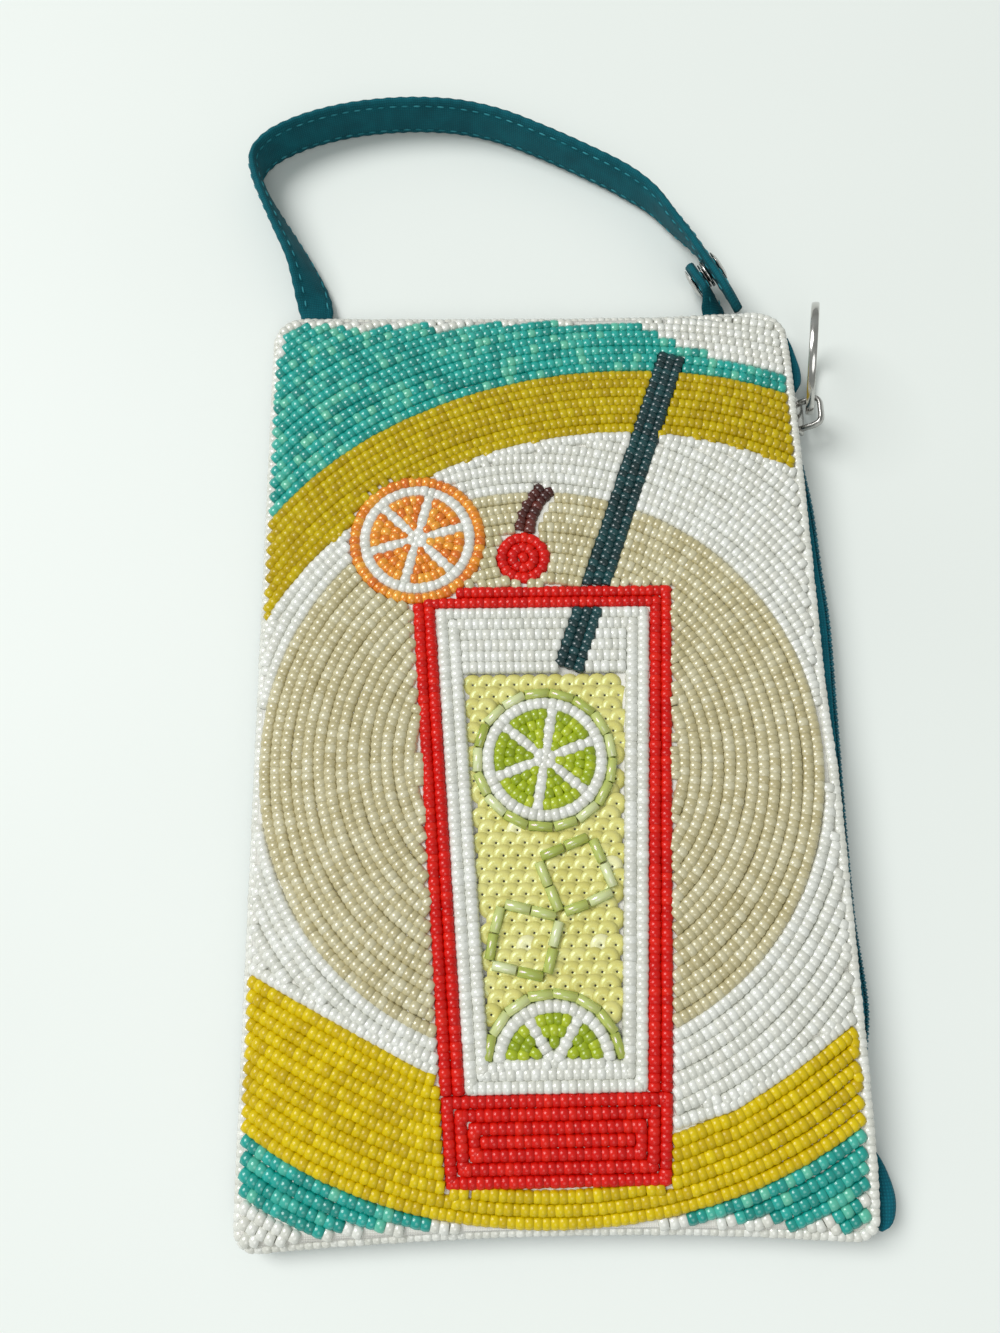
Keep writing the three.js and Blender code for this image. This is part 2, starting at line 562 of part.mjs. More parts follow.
const tabFace = -STRAP.thick;
const strapFace = SNAP.gap;
const strapBack = SNAP.gap + STRAP.thick;
const { radius, post, cap, clear } = SNAP;
const stud = turned([
  [0, tabFace - cap], [radius - 0.8, tabFace - cap], [radius, tabFace - 0.6], [radius, tabFace - clear],
  [post, tabFace - clear], [post, clear], [radius - 0.6, clear], [radius - 0.6, 0.55],
  [1.6, 0.55], [1.6, 0.85], [0, 0.85],
]);
const socket = turned([
  [0, strapBack + cap], [radius - 0.8, strapBack + cap], [radius, strapBack + 0.6],
  [radius, strapBack + clear], [post, strapBack + clear], [post, strapFace - clear],
  [radius - 0.4, strapFace - clear], [radius - 0.4, 0.8], [1.9, 0.8], [1.9, 1.1], [0, 1.1],
]);
const snapHole = turned([[0, -6], [SNAP.post + GAP, -6], [SNAP.post + GAP, 12], [0, 12]]);
add("strap", band(strapStations).subtract(snapHole), 0x14506a);
add("strap_tab", band(tabStations).subtract(snapHole), 0x14506a);
add("snap_stud", stud, 0xc4c6c8, { metalness: 1, roughness: 0.25 });
add("snap_socket", socket, 0xc4c6c8, { metalness: 1, roughness: 0.25 });

export default bag;
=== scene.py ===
# Beaded wristlet pouch lying on its back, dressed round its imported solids. Lengths are worked out in
# millimetres, as in the part's own frame, and turned to metres as each mesh is made.
import math

import bmesh
import bpy
import numpy as np
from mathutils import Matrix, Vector
from mathutils.kdtree import KDTree


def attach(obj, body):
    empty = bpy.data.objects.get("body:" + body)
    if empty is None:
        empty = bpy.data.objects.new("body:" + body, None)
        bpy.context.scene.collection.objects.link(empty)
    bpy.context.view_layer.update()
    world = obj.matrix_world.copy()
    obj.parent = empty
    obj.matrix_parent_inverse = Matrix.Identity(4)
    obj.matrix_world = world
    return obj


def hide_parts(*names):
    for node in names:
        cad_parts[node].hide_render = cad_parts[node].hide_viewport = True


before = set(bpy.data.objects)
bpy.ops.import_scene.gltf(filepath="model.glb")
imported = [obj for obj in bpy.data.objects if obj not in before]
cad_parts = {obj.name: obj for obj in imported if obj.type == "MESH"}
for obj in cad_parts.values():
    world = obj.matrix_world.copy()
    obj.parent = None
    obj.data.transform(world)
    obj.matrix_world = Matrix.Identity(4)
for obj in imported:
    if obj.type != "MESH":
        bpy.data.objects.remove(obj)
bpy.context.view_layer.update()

# Camera
# Held in the hand about 20 cm over the lower half of the bag and tipped a little towards the strap, with the
# field of view of a phone's main lens.
camera = bpy.data.objects.new("camera", bpy.data.cameras.new("camera"))
camera.location = (-0.01153, -0.04205, 0.19963)
camera.rotation_euler = [math.radians(turn) for turn in (15.466, -0.697, -0.975)]
camera.data.lens = 28.087
camera.data.clip_start = 0.01
bpy.context.scene.collection.objects.link(camera)
bpy.context.scene.camera = camera

# Ground cloth of the front
# A stiff white woven cloth, stretched flat while the beads are sewn to it and slightly crowned once the bag
# is made up. It shows only as a pale ground between the rows of beads.
MM = 0.001
BAG_LEFT, BAG_RIGHT, BAG_TOP, BAG_BOTTOM = -55, 54.4, 89.4, -90
UPPER_RADIUS, LOWER_RADIUS, LEAST_RADIUS = 6.5, 4, 1.5
TOP_BOW, BOTTOM_BOW = 1.6, 4
DRAWN_IN, DRAWN_IN_ABOVE, FULL_WIDTH_BELOW = 0.8, 5, -10
CROWN_HEIGHT, SEAM_FALL, ZIP_SIDE_FALL = 11.8, 5.4, 2.5
BEAD_LAYER = 1.9
GROUND_THICKNESS = 0.9
GROUND_INSET = 1.3
GROUND_CELLS = (48, 76)
PUFF, PUFF_BLEND = 0.98, 3
SEQUIN_PATCH_HALF, SEQUIN_PATCH_Y = (13, 34), -26


def bead_top(x, y):
    """Height of the bead tops: flat in the middle and falling towards the edges."""
    fall = np.where(x < 0, SEAM_FALL, ZIP_SIDE_FALL)
    side = fall * np.minimum(1.2, np.abs(x) / -BAG_LEFT) ** 5
    end = SEAM_FALL * np.minimum(1.1, np.abs(y) / BAG_TOP) ** 8
    return CROWN_HEIGHT - side - end + side * end / SEAM_FALL


def bag_outline(inset, right=None):
    """Points round the bag's edge, moved inwards, clockwise from the upper left corner."""
    left = BAG_LEFT + inset
    right = BAG_RIGHT - inset if right is None else right
    top = BAG_TOP - inset
    bottom = BAG_BOTTOM + inset
    upper = max(LEAST_RADIUS, UPPER_RADIUS - inset)
    lower = max(LEAST_RADIUS, LOWER_RADIUS - inset)
    drawn_in = right - DRAWN_IN

    def corner(x, y, radius, start):
        turn = np.radians(np.linspace(start, start - 90, 9))
        return np.column_stack([x + radius * np.cos(turn), y + radius * np.sin(turn)])

    def bowed(start, middle, end):
        t = np.linspace(0, 1, 41)[1:-1, None]
        return (1 - t) ** 2 * np.array(start) + 2 * t * (1 - t) * np.array(middle) + t**2 * np.array(end)

    return np.vstack([
        corner(left + upper, top - upper, upper, 180),
        bowed((left + upper, top), (0, top - TOP_BOW), (drawn_in - upper, top)),
        corner(drawn_in - upper, top - upper, upper, 90),
        [(drawn_in, DRAWN_IN_ABOVE), (right, FULL_WIDTH_BELOW)],
        corner(right - lower, bottom + lower, lower, 0),
        bowed((right - lower, bottom), (0, bottom + BOTTOM_BOW), (left + lower, bottom)),
        corner(left + lower, bottom + lower, lower, -90),
    ])


def nearest_on(points, loop):
    """The nearest point of a closed line to each point."""
    legs = np.roll(loop, -1, axis=0) - loop
    to = points[:, None] - loop[None]
    share = np.clip((to * legs).sum(2) / (legs**2).sum(1), 0, 1)
    found = loop[None] + share[..., None] * legs[None]
    best = np.hypot(*np.moveaxis(points[:, None] - found, 2, 0)).argmin(1)
    return found[np.arange(len(points)), best]


def depth_inside(points, loop):
    """How far each point lies inside a closed line; negative outside it."""
    ends = np.roll(loop, -1, axis=0)
    rise = np.where(ends[:, 1] == loop[:, 1], 1e-9, ends[:, 1] - loop[:, 1])
    px, py = points[:, :1], points[:, 1:2]
    spans = (loop[:, 1] > py) != (ends[:, 1] > py)
    crossing = loop[:, 0] + (ends[:, 0] - loop[:, 0]) * (py - loop[:, 1]) / rise
    inside = (spans & (px < crossing)).sum(1) % 2 == 1
    gap = np.hypot(*(points - nearest_on(points, loop)).T)
    return np.where(inside, gap, -gap)


def placed(name, mesh, material):
    """An object at the origin for a mesh, with its material."""
    mesh.materials.append(material)
    piece = bpy.data.objects.new(name, mesh)
    bpy.context.scene.collection.objects.link(piece)
    return piece


def finished(name, bm, material, smooth=True):
    """Turns a bmesh into an object at the origin, with its material."""
    mesh = bpy.data.meshes.new(name)
    bm.to_mesh(mesh)
    bm.free()
    if smooth:
        mesh.shade_smooth()
    return placed(name, mesh, material)


def cloth_panel(name, loop, height, cells, thickness, material):
    """A sheet of cloth cut to an outline and laid to a height, with its thickness under it."""
    bm = bmesh.new()
    bmesh.ops.create_grid(bm, x_segments=cells[0], y_segments=cells[1], size=1)
    middle = (loop.min(0) + loop.max(0)) / 2
    reach = (loop.max(0) - loop.min(0)) / 2
    flat = middle + np.array([vert.co.xy for vert in bm.verts]) * reach
    over = depth_inside(flat, loop) < 0
    flat[over] = nearest_on(flat[over], loop)
    heights = height(flat[:, 0], flat[:, 1])
    for vert, (x, y), z in zip(bm.verts, flat, heights):
        vert.co = (x * MM, y * MM, z * MM)
    bmesh.ops.recalc_face_normals(bm, faces=bm.faces[:])
    piece = finished(name, bm, material)
    wall = piece.modifiers.new("thickness", "SOLIDIFY")
    wall.thickness = thickness * MM
    wall.offset = -1
    return piece


def colour(code):
    """A colour given as six hex digits, as linear red, green, blue and alpha."""
    parts = [int(code[i:i + 2], 16) / 255 for i in (0, 2, 4)]
    return [p / 12.92 if p < 0.04045 else ((p + 0.055) / 1.055) ** 2.4 for p in parts] + [1]


def new_material(name, roughness):
    """A material with its node tree and its shader, ready for wiring."""
    material = bpy.data.materials.new(name)
    material.use_nodes = True
    tree = material.node_tree
    shader = tree.nodes["Principled BSDF"]
    shader.inputs["Roughness"].default_value = roughness
    return material, tree, shader


def ramp(tree, factor, *codes):
    """A colour ramp through evenly spaced colours."""
    node = tree.nodes.new("ShaderNodeValToRGB")
    stops = node.color_ramp.elements
    while len(stops) < len(codes):
        stops.new(0.5)
    for i, code in enumerate(codes):
        stops[i].position = i / (len(codes) - 1)
        stops[i].color = colour(code)
    tree.links.new(factor, node.inputs["Fac"])
    return node.outputs["Color"]


def woven_cloth(name, codes, thread, coordinates="Object", sheen=0.25):
    """Plain woven cloth: crossing threads that stand proud in turn, with uneven dye and a soft sheen."""
    material, tree, shader = new_material(name, 0.85)
    place = tree.nodes.new("ShaderNodeTexCoord").outputs[coordinates]
    threads = []
    for direction in ("X", "Y"):
        wave = tree.nodes.new("ShaderNodeTexWave")
        wave.bands_direction = direction
        wave.inputs["Scale"].default_value = 2 * math.pi / (20 * thread * MM)
        wave.inputs["Distortion"].default_value = 1.2
        wave.inputs["Detail Scale"].default_value = 0.4
        tree.links.new(place, wave.inputs["Vector"])
        threads.append(wave.outputs["Fac"])
    crossing = tree.nodes.new("ShaderNodeMath")
    crossing.operation = "MULTIPLY"
    dye = tree.nodes.new("ShaderNodeTexNoise")
    dye.inputs["Scale"].default_value = 220
    dye.inputs["Detail"].default_value = 6
    tree.links.new(place, dye.inputs["Vector"])
    tone = tree.nodes.new("ShaderNodeMath")
    tone.operation = "MULTIPLY_ADD"
    tone.inputs[1].default_value = 0.55
    bump = tree.nodes.new("ShaderNodeBump")
    bump.inputs["Strength"].default_value = 0.5
    bump.inputs["Distance"].default_value = 0.25 * thread * MM
    tree.links.new(threads[0], crossing.inputs[0])
    tree.links.new(threads[1], crossing.inputs[1])
    tree.links.new(crossing.outputs[0], tone.inputs[0])
    tree.links.new(dye.outputs["Fac"], tone.inputs[2])
    tree.links.new(ramp(tree, tone.outputs[0], *codes), shader.inputs["Base Color"])
    tree.links.new(crossing.outputs[0], bump.inputs["Height"])
    tree.links.new(bump.outputs["Normal"], shader.inputs["Normal"])
    shader.inputs["Specular IOR Level"].default_value = 0.2
    shader.inputs["Sheen Weight"].default_value = sheen
    shader.inputs["Sheen Roughness"].default_value = 0.4
    return material


def ground_height(x, y):
    return bead_top(x, y) - BEAD_LAYER


def puffed_ground(x, y):
    """The cloth swells between the sewn rows, and lies flat under the sequins of the drink."""
    half_x, half_y = SEQUIN_PATCH_HALF
    off_sequins = np.maximum(np.abs(x) - half_x, np.abs(y - SEQUIN_PATCH_Y) - half_y)
    return ground_height(x, y) + PUFF * np.clip(off_sequins / PUFF_BLEND, 0, 1)


white_cloth = woven_cloth("white_ground_cloth", ("c9c7bd", "dedcd3", "ecebe5"), thread=0.4)
ground = cloth_panel("front_ground_cloth", bag_outline(GROUND_INSET), puffed_ground, GROUND_CELLS,
                     GROUND_THICKNESS, white_cloth)
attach(ground, "bag")
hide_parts("front_panel")

# Pattern on the front, and the disc of cream beads
# The pattern is drawn on the cloth before any bead is sewn: a disc, a curved band over it and one under it,
# and in front of them a tall drink. The disc is close rings of pearly cream seed beads, strung and then
# couched down.
FIELD_INSET, LEFT_FIELD_SHIFT = 1.85, 0.6
DISC = (-1, -7, 52.6)
OVER_INNER = (17, -27, 85.6)
OVER_OUTER = (20, -30, 103)
GLASS_TOP, GLASS_BOTTOM, GLASS_FOOT_HALF, GLASS_FLARE = 26, -80, 19, 6
STRAW_FOOT, STRAW_TIP = np.array((4.5, 9.5)), np.array((28.5, 77))
STRAW_ROWS, STRAW_PITCH = 3, 1.8
STEM_WIDTH = 4.4
ORANGE = (-24, 36, 13.2)
CHERRY = (-3.5, 31.9, 5.2)
STEM = np.array([(-3.2, 37.4), (-2.6, 40.6), (-1.2, 43.6), (1.4, 46.6)])
SEED_LENGTH, SEED_WIDTH, SEED_HOLE, SEED_PITCH = 1.84, 2.0, 0.42, 1.4
CLOSE_GIRTH = 1.3
FINE_STEP, END_GAP, SIDE_GAP = 0.2, 0.05, 0.3
FILL_REACH, FILL_STEP, FILL_FARTHEST, FILL_INSIDE = 1.36, 0.5, 6, 0.3
FILL_X, FILL_Y = 54, 88
ROW_X, ROW_Y = 56, 91
DISC_RINGS, FIRST_RING, RINGS_LAID = 25, 7.5, 18


def beyond(places, circle):
    """How far places lie outside a circle; negative inside it."""
    x, y, radius = circle
    return np.hypot(places[:, 0] - x, places[:, 1] - y) - radius


def circle_path(x, y, radius, wobble=0.0):
    """A ring as a closed line, a little uneven as rows sewn by hand are."""
    turn = np.radians(np.arange(0, 360, 2))
    uneven = wobble * (np.sin(5 * turn + 1.7 * radius) + 0.7 * np.sin(13 * turn + 0.9 * radius))
    return np.column_stack([x + (radius + uneven) * np.cos(turn), y + (radius + uneven) * np.sin(turn)])


def string_beads(path, pitch, closed=False):
    """Beads threaded along a line, end to end: x, y and the direction of the hole."""
    path = np.asarray(path, float)
    if closed:
        path = np.vstack([path, path[:1]])
    legs = np.diff(path, axis=0)
    marks = np.concatenate([[0], np.cumsum(np.hypot(*legs.T))])
    count = max(1, round(marks[-1] / pitch))
    along = (np.arange(count) + 0.5) * marks[-1] / count
    leg = np.clip(np.searchsorted(marks, along) - 1, 0, len(legs) - 1)
    return np.column_stack([
        np.interp(along, marks, path[:, 0]),
        np.interp(along, marks, path[:, 1]),
        np.arctan2(legs[leg, 1], legs[leg, 0]),
    ])


def laid_row(path, pitch, limits, closed=False):
    """One row of beads along a line, cut where anything crosses it and strung afresh from end to end."""
    spots = string_beads(path, FINE_STEP, closed)
    spots = spots[(np.abs(spots[:, 0]) < ROW_X) & (np.abs(spots[:, 1]) < ROW_Y)]
    if len(spots) < 4:
        return np.zeros((0, 3))
    clear = np.ones(len(spots), bool)
    for limit in limits:
        depth = limit(spots)
        slope = np.clip(np.abs(np.gradient(depth, FINE_STEP)), 0, 1)
        clear &= depth > END_GAP + SIDE_GAP * (1 - slope)
    if closed and not clear.all():
        first = np.flatnonzero(~clear)[0]
        spots = np.roll(spots, -first, axis=0)
        clear = np.roll(clear, -first)
    spots = spots[clear]
    apart = np.hypot(*np.diff(spots[:, :2], axis=0).T)
    runs = np.split(spots, np.flatnonzero(apart > 2 * FINE_STEP) + 1)
    rows = [string_beads(run[:, :2], pitch) for run in runs if len(run) * FINE_STEP > 0.6 * pitch]
    return np.vstack(rows + [np.zeros((0, 3))])


def lifted_from(bm):
    """The points and faces of a small shape, for repeating."""
    bm.verts.index_update()
    points = np.array([vert.co for vert in bm.verts])
    faces = [[vert.index for vert in face.verts] for face in bm.faces]
    bm.free()
    return points, faces


def spun(points, axis, sides, closed=True):
    """A line of points spun once round an axis through the origin."""
    bm = bmesh.new()
    line = [bm.verts.new(point) for point in points]
    for a, b in zip(line, line[1:] + (line[:1] if closed else [])):
        bm.edges.new((a, b))
    bmesh.ops.spin(bm, geom=bm.verts[:] + bm.edges[:], cent=(0, 0, 0), axis=axis, angle=2 * math.pi,
                   steps=sides, use_merge=True)
    return bm


def spun_shape(profile, sides):
    """A small turned shape with its axis along X, as points and faces for repeating."""
    bm = spun([(x, 0, radius) for x, radius in profile], (1, 0, 0), sides)
    bmesh.ops.recalc_face_normals(bm, faces=bm.faces[:])
    return lifted_from(bm)


def bead_shape(length, width, hole):
    """A seed bead: a rounded glass tube cut short."""
    half = length / 2
    radius = width / 2
    return spun_shape([(-half, hole), (-0.8 * half, 0.88 * radius), (0, radius), (0.8 * half, 0.88 * radius),
                       (half, hole)], sides=8)


def repeated(name, shape, origins, frames, tints, material):
    """One mesh of a small shape set down many times, with one tint for each."""
    points, faces = shape
    count = len(origins)
    corners = np.einsum("nij,pj->npi", frames, points) + origins[:, None]
    joined = [[corner + len(points) * k for corner in face] for k in range(count) for face in faces]
    mesh = bpy.data.meshes.new(name)
    mesh.from_pydata((corners.reshape(-1, 3) * MM).tolist(), [], joined)
    tint = mesh.attributes.new("tint", "FLOAT", "POINT")
    tint.data.foreach_set("value", np.repeat(tints, len(points)).astype(np.float32))
    mesh.shade_smooth()
    return placed(name, mesh, material)


def bead_middle(x, y):
    return bead_top(x, y) - BEAD_LAYER / 2


def sewn(name, shape, places, material, seed, height=bead_middle, girth=CLOSE_GIRTH, uneven=0.03, lean=0.05):
    """Beads sewn to the crowned front, each a little different in size and set."""
    draw = np.random.default_rng(seed)
    x, y, turn = places.T
    step = 0.05
    slope_x = (bead_top(x + step, y) - bead_top(x - step, y)) / (2 * step)
    slope_y = (bead_top(x, y + step) - bead_top(x, y - step)) / (2 * step)
    turn = turn + lean * draw.standard_normal(len(x))
    along = np.column_stack([np.cos(turn), np.sin(turn), slope_x * np.cos(turn) + slope_y * np.sin(turn)])
    along[:, 2] += lean * draw.standard_normal(len(x))
    along /= np.linalg.norm(along, axis=1)[:, None]
    normal = np.column_stack([-slope_x, -slope_y, np.ones(len(x))])
    across = np.cross(normal, along)
    across /= np.linalg.norm(across, axis=1)[:, None]
    up = np.cross(along, across)
    size = 1 + uneven * np.clip(draw.standard_normal((len(x), 2)), -2, 2)
    wide = size[:, 1:] * np.broadcast_to(girth, len(x))[:, None]
    frames = np.stack([along * size[:, :1], across * wide, up * size[:, 1:]], axis=2)
    origins = np.column_stack([x, y, height(x, y) + 0.04 * draw.standard_normal(len(x))])
    return repeated(name, shape, origins, frames, draw.random(len(x)), material)


def bead_glass(name, codes, roughness=0.35, coat=1.0, shine=1.65, film=0.0):
    """Bead glass: each bead takes its own shade, under a bright polished skin."""
    material, tree, shader = new_material(name, roughness)
    tint = tree.nodes.new("ShaderNodeAttribute")
    tint.attribute_name = "tint"
    tree.links.new(ramp(tree, tint.outputs["Fac"], *codes), shader.inputs["Base Color"])
    shader.inputs["Specular IOR Level"].default_value = 0.02
    shader.inputs["Coat Weight"].default_value = coat
    shader.inputs["Coat Roughness"].default_value = 0.25
    shader.inputs["Coat IOR"].default_value = shine
    shader.inputs["Thin Film Thickness"].default_value = film
    return material


def glass_half(y):
    """Half the width of the drink's glass at a height on the front."""
    return GLASS_FOOT_HALF + GLASS_FLARE * (y - GLASS_BOTTOM) / (GLASS_TOP - GLASS_BOTTOM)


def glass_loop(bottom, top, inset=0.0):
    """The glass between two heights, moved in at its sides."""
    low = glass_half(bottom) - inset
    high = glass_half(top) - inset
    return np.array([(-low, bottom), (-high, top), (high, top), (low, bottom)])


def strip_loop(start, end, width):
    """A straight strip of some width as a closed line."""
    run = (end - start) / np.linalg.norm(end - start)
    side = np.array((-run[1], run[0])) * width / 2
    return np.array([start - side, start + side, end + side, end - side])


def clear_of(places, others, reach):
    """Keeps the beads that lie at least some distance from every one of some others."""
    apart = np.hypot(*np.moveaxis(places[:, None, :2] - others[None, :, :2], 2, 0))
    return places[apart.min(1) > reach]


field = bag_outline(FIELD_INSET)
field[:, 0] -= np.where(field[:, 0] < BAG_LEFT + 5, LEFT_FIELD_SHIFT, 0)
whole_glass = glass_loop(GLASS_BOTTOM, GLASS_TOP)
straw_loop = strip_loop(STRAW_FOOT, STRAW_TIP, STRAW_ROWS * STRAW_PITCH)
stem_loop = strip_loop(STEM[0], STEM[-1], STEM_WIDTH)


def in_front(spots):
    return depth_inside(spots[:, :2], field)


def off_glass(spots):
    return -depth_inside(spots[:, :2], whole_glass)


def off_straw(spots):
    return -depth_inside(spots[:, :2], straw_loop)


def off_stem(spots):
    return -depth_inside(spots[:, :2], stem_loop)


def off_orange(spots):
    return beyond(spots, ORANGE)


def off_cherry(spots):
    return beyond(spots, CHERRY)


ground_limits = (in_front, off_glass, off_straw, off_stem, off_orange, off_cherry)


def ring_rows(circle, first, count, row, pitch, limits, wobble=0.08):
    """Rows of beads in rings round one middle, from a first radius outwards."""
    x, y, _ = circle
    rings = [circle_path(x, y, first + row * k, wobble) for k in range(count)]
    return [laid_row(ring, pitch, limits, closed=True) for ring in rings]


def filled(rows, limits, others=(), reach=FILL_REACH):
    """Rows of one colour, with single beads added wherever a gap between rows would show the ground."""
    places = np.vstack(rows)
    taken = np.vstack([places, *others])
    tree = KDTree(len(taken))
    for k, place in enumerate(taken):
        tree.insert((place[0], place[1], 0), k)
    tree.balance()
    gaps = []
    for x in np.arange(-FILL_X, FILL_X, FILL_STEP):
        for y in np.arange(-FILL_Y, FILL_Y, FILL_STEP):
            _, nearest, apart = tree.find((x, y, 0))
            if reach < apart < FILL_FARTHEST and nearest < len(places):
                gaps.append((x, y, taken[nearest, 2], apart))
    gaps = np.array(gaps)
    for limit in limits:
        gaps = gaps[limit(gaps) > FILL_INSIDE]
    added = np.zeros((0, 3))
    for gap in gaps[np.argsort(-gaps[:, 3], kind="stable")]:
        if not len(added) or len(clear_of(gap[None, :3], added, reach)):
            added = np.vstack([added, gap[:3]])
    return np.vstack([places, added])


seed_bead = bead_shape(SEED_LENGTH, SEED_WIDTH, SEED_HOLE)
disc_row = DISC[2] / DISC_RINGS


def in_disc(spots):
    return -beyond(spots, DISC)


disc_rows = ring_rows(DISC, disc_row * FIRST_RING, RINGS_LAID, disc_row, SEED_PITCH, ground_limits)
disc_places = filled(disc_rows, (in_disc, *ground_limits))
cream_glass = bead_glass("pearly_cream_glass", ("b9ae82", "c1b78d", "c8bf98", "cfc8a6"), shine=1.9)
cream_beads = sewn("cream_bead_disc", seed_bead, disc_places, cream_glass, seed=8)
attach(cream_beads, "bag")
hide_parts("bead_disc")

# Yellow beads of the two bands
# Opaque mustard seed beads in seven rows over the disc, and under it in eleven rows on the left and six on
# the right, which run on beneath the foot of the glass.
OVER_ROWS, UNDER_ROWS_LEFT, UNDER_ROWS_RIGHT = 7, 11, 6
UNDER_OUTER = (0, 10.3, 97)
UNDER_INNER_X = (-62, -53, -36, -20, 0, 20, 30, 40, 51, 62)
UNDER_INNER_Y = (-40.2, -45, -54, -62.5, -70, -71.2, -68.4, -62.8, -55.6, -49.5)
UNDER_GLASS_ROW, UNDER_GLASS_BLEND = 2.12, (19, 27)
YELLOW_LENGTH, YELLOW_PITCH = 1.9, 1.45


def under_inner(x):
    """The upper edge of the lower band."""
    return np.interp(x, UNDER_INNER_X, UNDER_INNER_Y)


def above_ten(spots):
    return spots[:, 1] - 10


def below_under_inner(spots):
    return under_inner(spots[:, 0]) - spots[:, 1]


over_rows = []
for k in range(OVER_ROWS):
    share = (k + 0.5) / OVER_ROWS
    circle = [inner + share * (outer - inner) for inner, outer in zip(OVER_INNER, OVER_OUTER)]
    ring = circle_path(*circle, wobble=0.05)
    over_rows.append(laid_row(ring, YELLOW_PITCH, (above_ten, *ground_limits), closed=True))


def in_over(spots):
    return np.minimum(beyond(spots, OVER_INNER) + 0.6, -beyond(spots, OVER_OUTER))


over_places = filled(over_rows, (in_over, above_ten, *ground_limits))

band_x = np.linspace(-55.5, 55.5, 120)
outer_y = UNDER_OUTER[1] - np.sqrt(UNDER_OUTER[2] ** 2 - (band_x - UNDER_OUTER[0]) ** 2)
band_depth = under_inner(band_x) - outer_y
spacing = np.where(band_x < 0, band_depth / UNDER_ROWS_LEFT, band_depth / UNDER_ROWS_RIGHT)
spacing += (UNDER_GLASS_ROW - spacing) * np.interp(np.abs(band_x), UNDER_GLASS_BLEND, (1, 0))
under_rows = []
for k in range(UNDER_ROWS_LEFT):
    path = np.column_stack([band_x, outer_y + spacing * (k + 0.5)])
    under_rows.append(laid_row(path, YELLOW_PITCH, (below_under_inner, *ground_limits)))


def in_under(spots):
    return np.minimum(below_under_inner(spots), -beyond(spots, UNDER_OUTER))


under_places = filled(under_rows, (in_under, *ground_limits))

yellow_bead = bead_shape(YELLOW_LENGTH, SEED_WIDTH, SEED_HOLE)
# The band over the disc takes darker shades than the band under it: painted shade, for the upper part of the
# bag that gets less light.
over_painted_shade_codes = ("ad9300", "b79d00", "bda500", "c4ad06")
under_shades = ("c1a400", "ccb000", "d3b800", "dbc106")
yellow_in_painted_shade = bead_glass("mustard_glass_painted_shade", over_painted_shade_codes, coat=0.9, shine=1.45)
yellow = bead_glass("mustard_glass", under_shades, coat=0.9, shine=1.45)
over_beads = sewn("yellow_bead_band_over", yellow_bead, over_places, yellow_in_painted_shade, seed=9)
under_beads = sewn("yellow_bead_band_under", yellow_bead, under_places, yellow, seed=21)
for piece, solid in ((over_beads, "bead_yellow_upper"), (under_beads, "bead_yellow_lower")):
    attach(piece, "bag")
    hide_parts(solid)

# Teal beads of the corners
# Larger polished teal beads in several shades, in rows that follow the bands and end in steps at the edge.
# The outer ends of some rows go on in white, which leaves two white corners.
TEAL_LENGTH, TEAL_WIDTH, TEAL_HOLE, TEAL_GIRTH = 2.0, 2.05, 0.45, 1.26
TEAL_ROW, TEAL_PITCH, TEAL_FILL_REACH = 2.17, 1.62, 1.45
FIRST_TEAL = 1.1
TEAL_OVER_ROWS, TEAL_UNDER_ROWS = 40, 12
STEPS_FROM, STEP_LEAST, STEP_SPREAD, STEP_DEPTH = 80, 0.5, 1.8, 2.4
FEWEST_TEAL = 4
CORNER_ROW_ENDS = (None, None, 36, 29, 25.5, 23.5)
LOWER_CORNER = (0, -9, 90.2)


def below_minus_sixty(spots):
    return -60 - spots[:, 1]


teal_over = ring_rows(OVER_OUTER, OVER_OUTER[2] + FIRST_TEAL, TEAL_OVER_ROWS, TEAL_ROW, TEAL_PITCH,
                      (above_ten, *ground_limits))
teal_under = ring_rows(UNDER_OUTER, UNDER_OUTER[2] + FIRST_TEAL, TEAL_UNDER_ROWS, TEAL_ROW, TEAL_PITCH,
                       (below_minus_sixty, *ground_limits))
step_draw = np.random.default_rng(31)
corner_white = []
teal_rows = []


def step_end(row):
    """Beads near the edge, where a row of teal stops at a step of its own depth."""
    return in_front(row) < STEP_LEAST + STEP_SPREAD * step_draw.random()


for k, row in enumerate(teal_over):
    end = CORNER_ROW_ENDS[min(k, len(CORNER_ROW_ENDS) - 1)]
    in_corner = np.zeros(len(row), bool) if end is None else row[:, 0] > end
    in_white = in_corner | ((row[:, 1] > STEPS_FROM) & step_end(row))
    corner_white.append(row[in_white])
    teal_rows.append(row[~in_white])
for row in teal_under:
    in_corner = (row[:, 0] < 0) & (beyond(row, LOWER_CORNER) > 0)
    in_white = in_corner | ((row[:, 1] < -STEPS_FROM) & step_end(row))
    in_white |= (row[:, 0] < 0) & ((~in_white & (row[:, 0] < 0)).sum() < FEWEST_TEAL)
    corner_white.append(row[in_white])
    teal_rows.append(row[~in_white])


def in_teal(spots):
    over = np.minimum(beyond(spots, OVER_OUTER), above_ten(spots))
    under = np.minimum(beyond(spots, UNDER_OUTER), below_minus_sixty(spots))
    off_steps = np.where(np.abs(spots[:, 1]) > STEPS_FROM - 1, in_front(spots) - STEP_DEPTH, 9)
    return np.minimum(np.maximum(over, under), off_steps)


corner_places = np.vstack(corner_white)
teal_places = filled(teal_rows, (in_teal, *ground_limits), (corner_places, over_places, under_places),
                     TEAL_FILL_REACH)
teal_glass = bead_glass("lustred_teal_glass", ("05877c", "0e998d", "1ba89c", "64bfa1"), shine=1.7)
teal_bead = bead_shape(TEAL_LENGTH, TEAL_WIDTH, TEAL_HOLE)
teal_beads = sewn("teal_bead_corners", teal_bead, teal_places, teal_glass, seed=10, girth=TEAL_GIRTH)
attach(teal_beads, "bag")
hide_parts("bead_teal_upper", "bead_teal_lower_left", "bead_teal_lower_right")

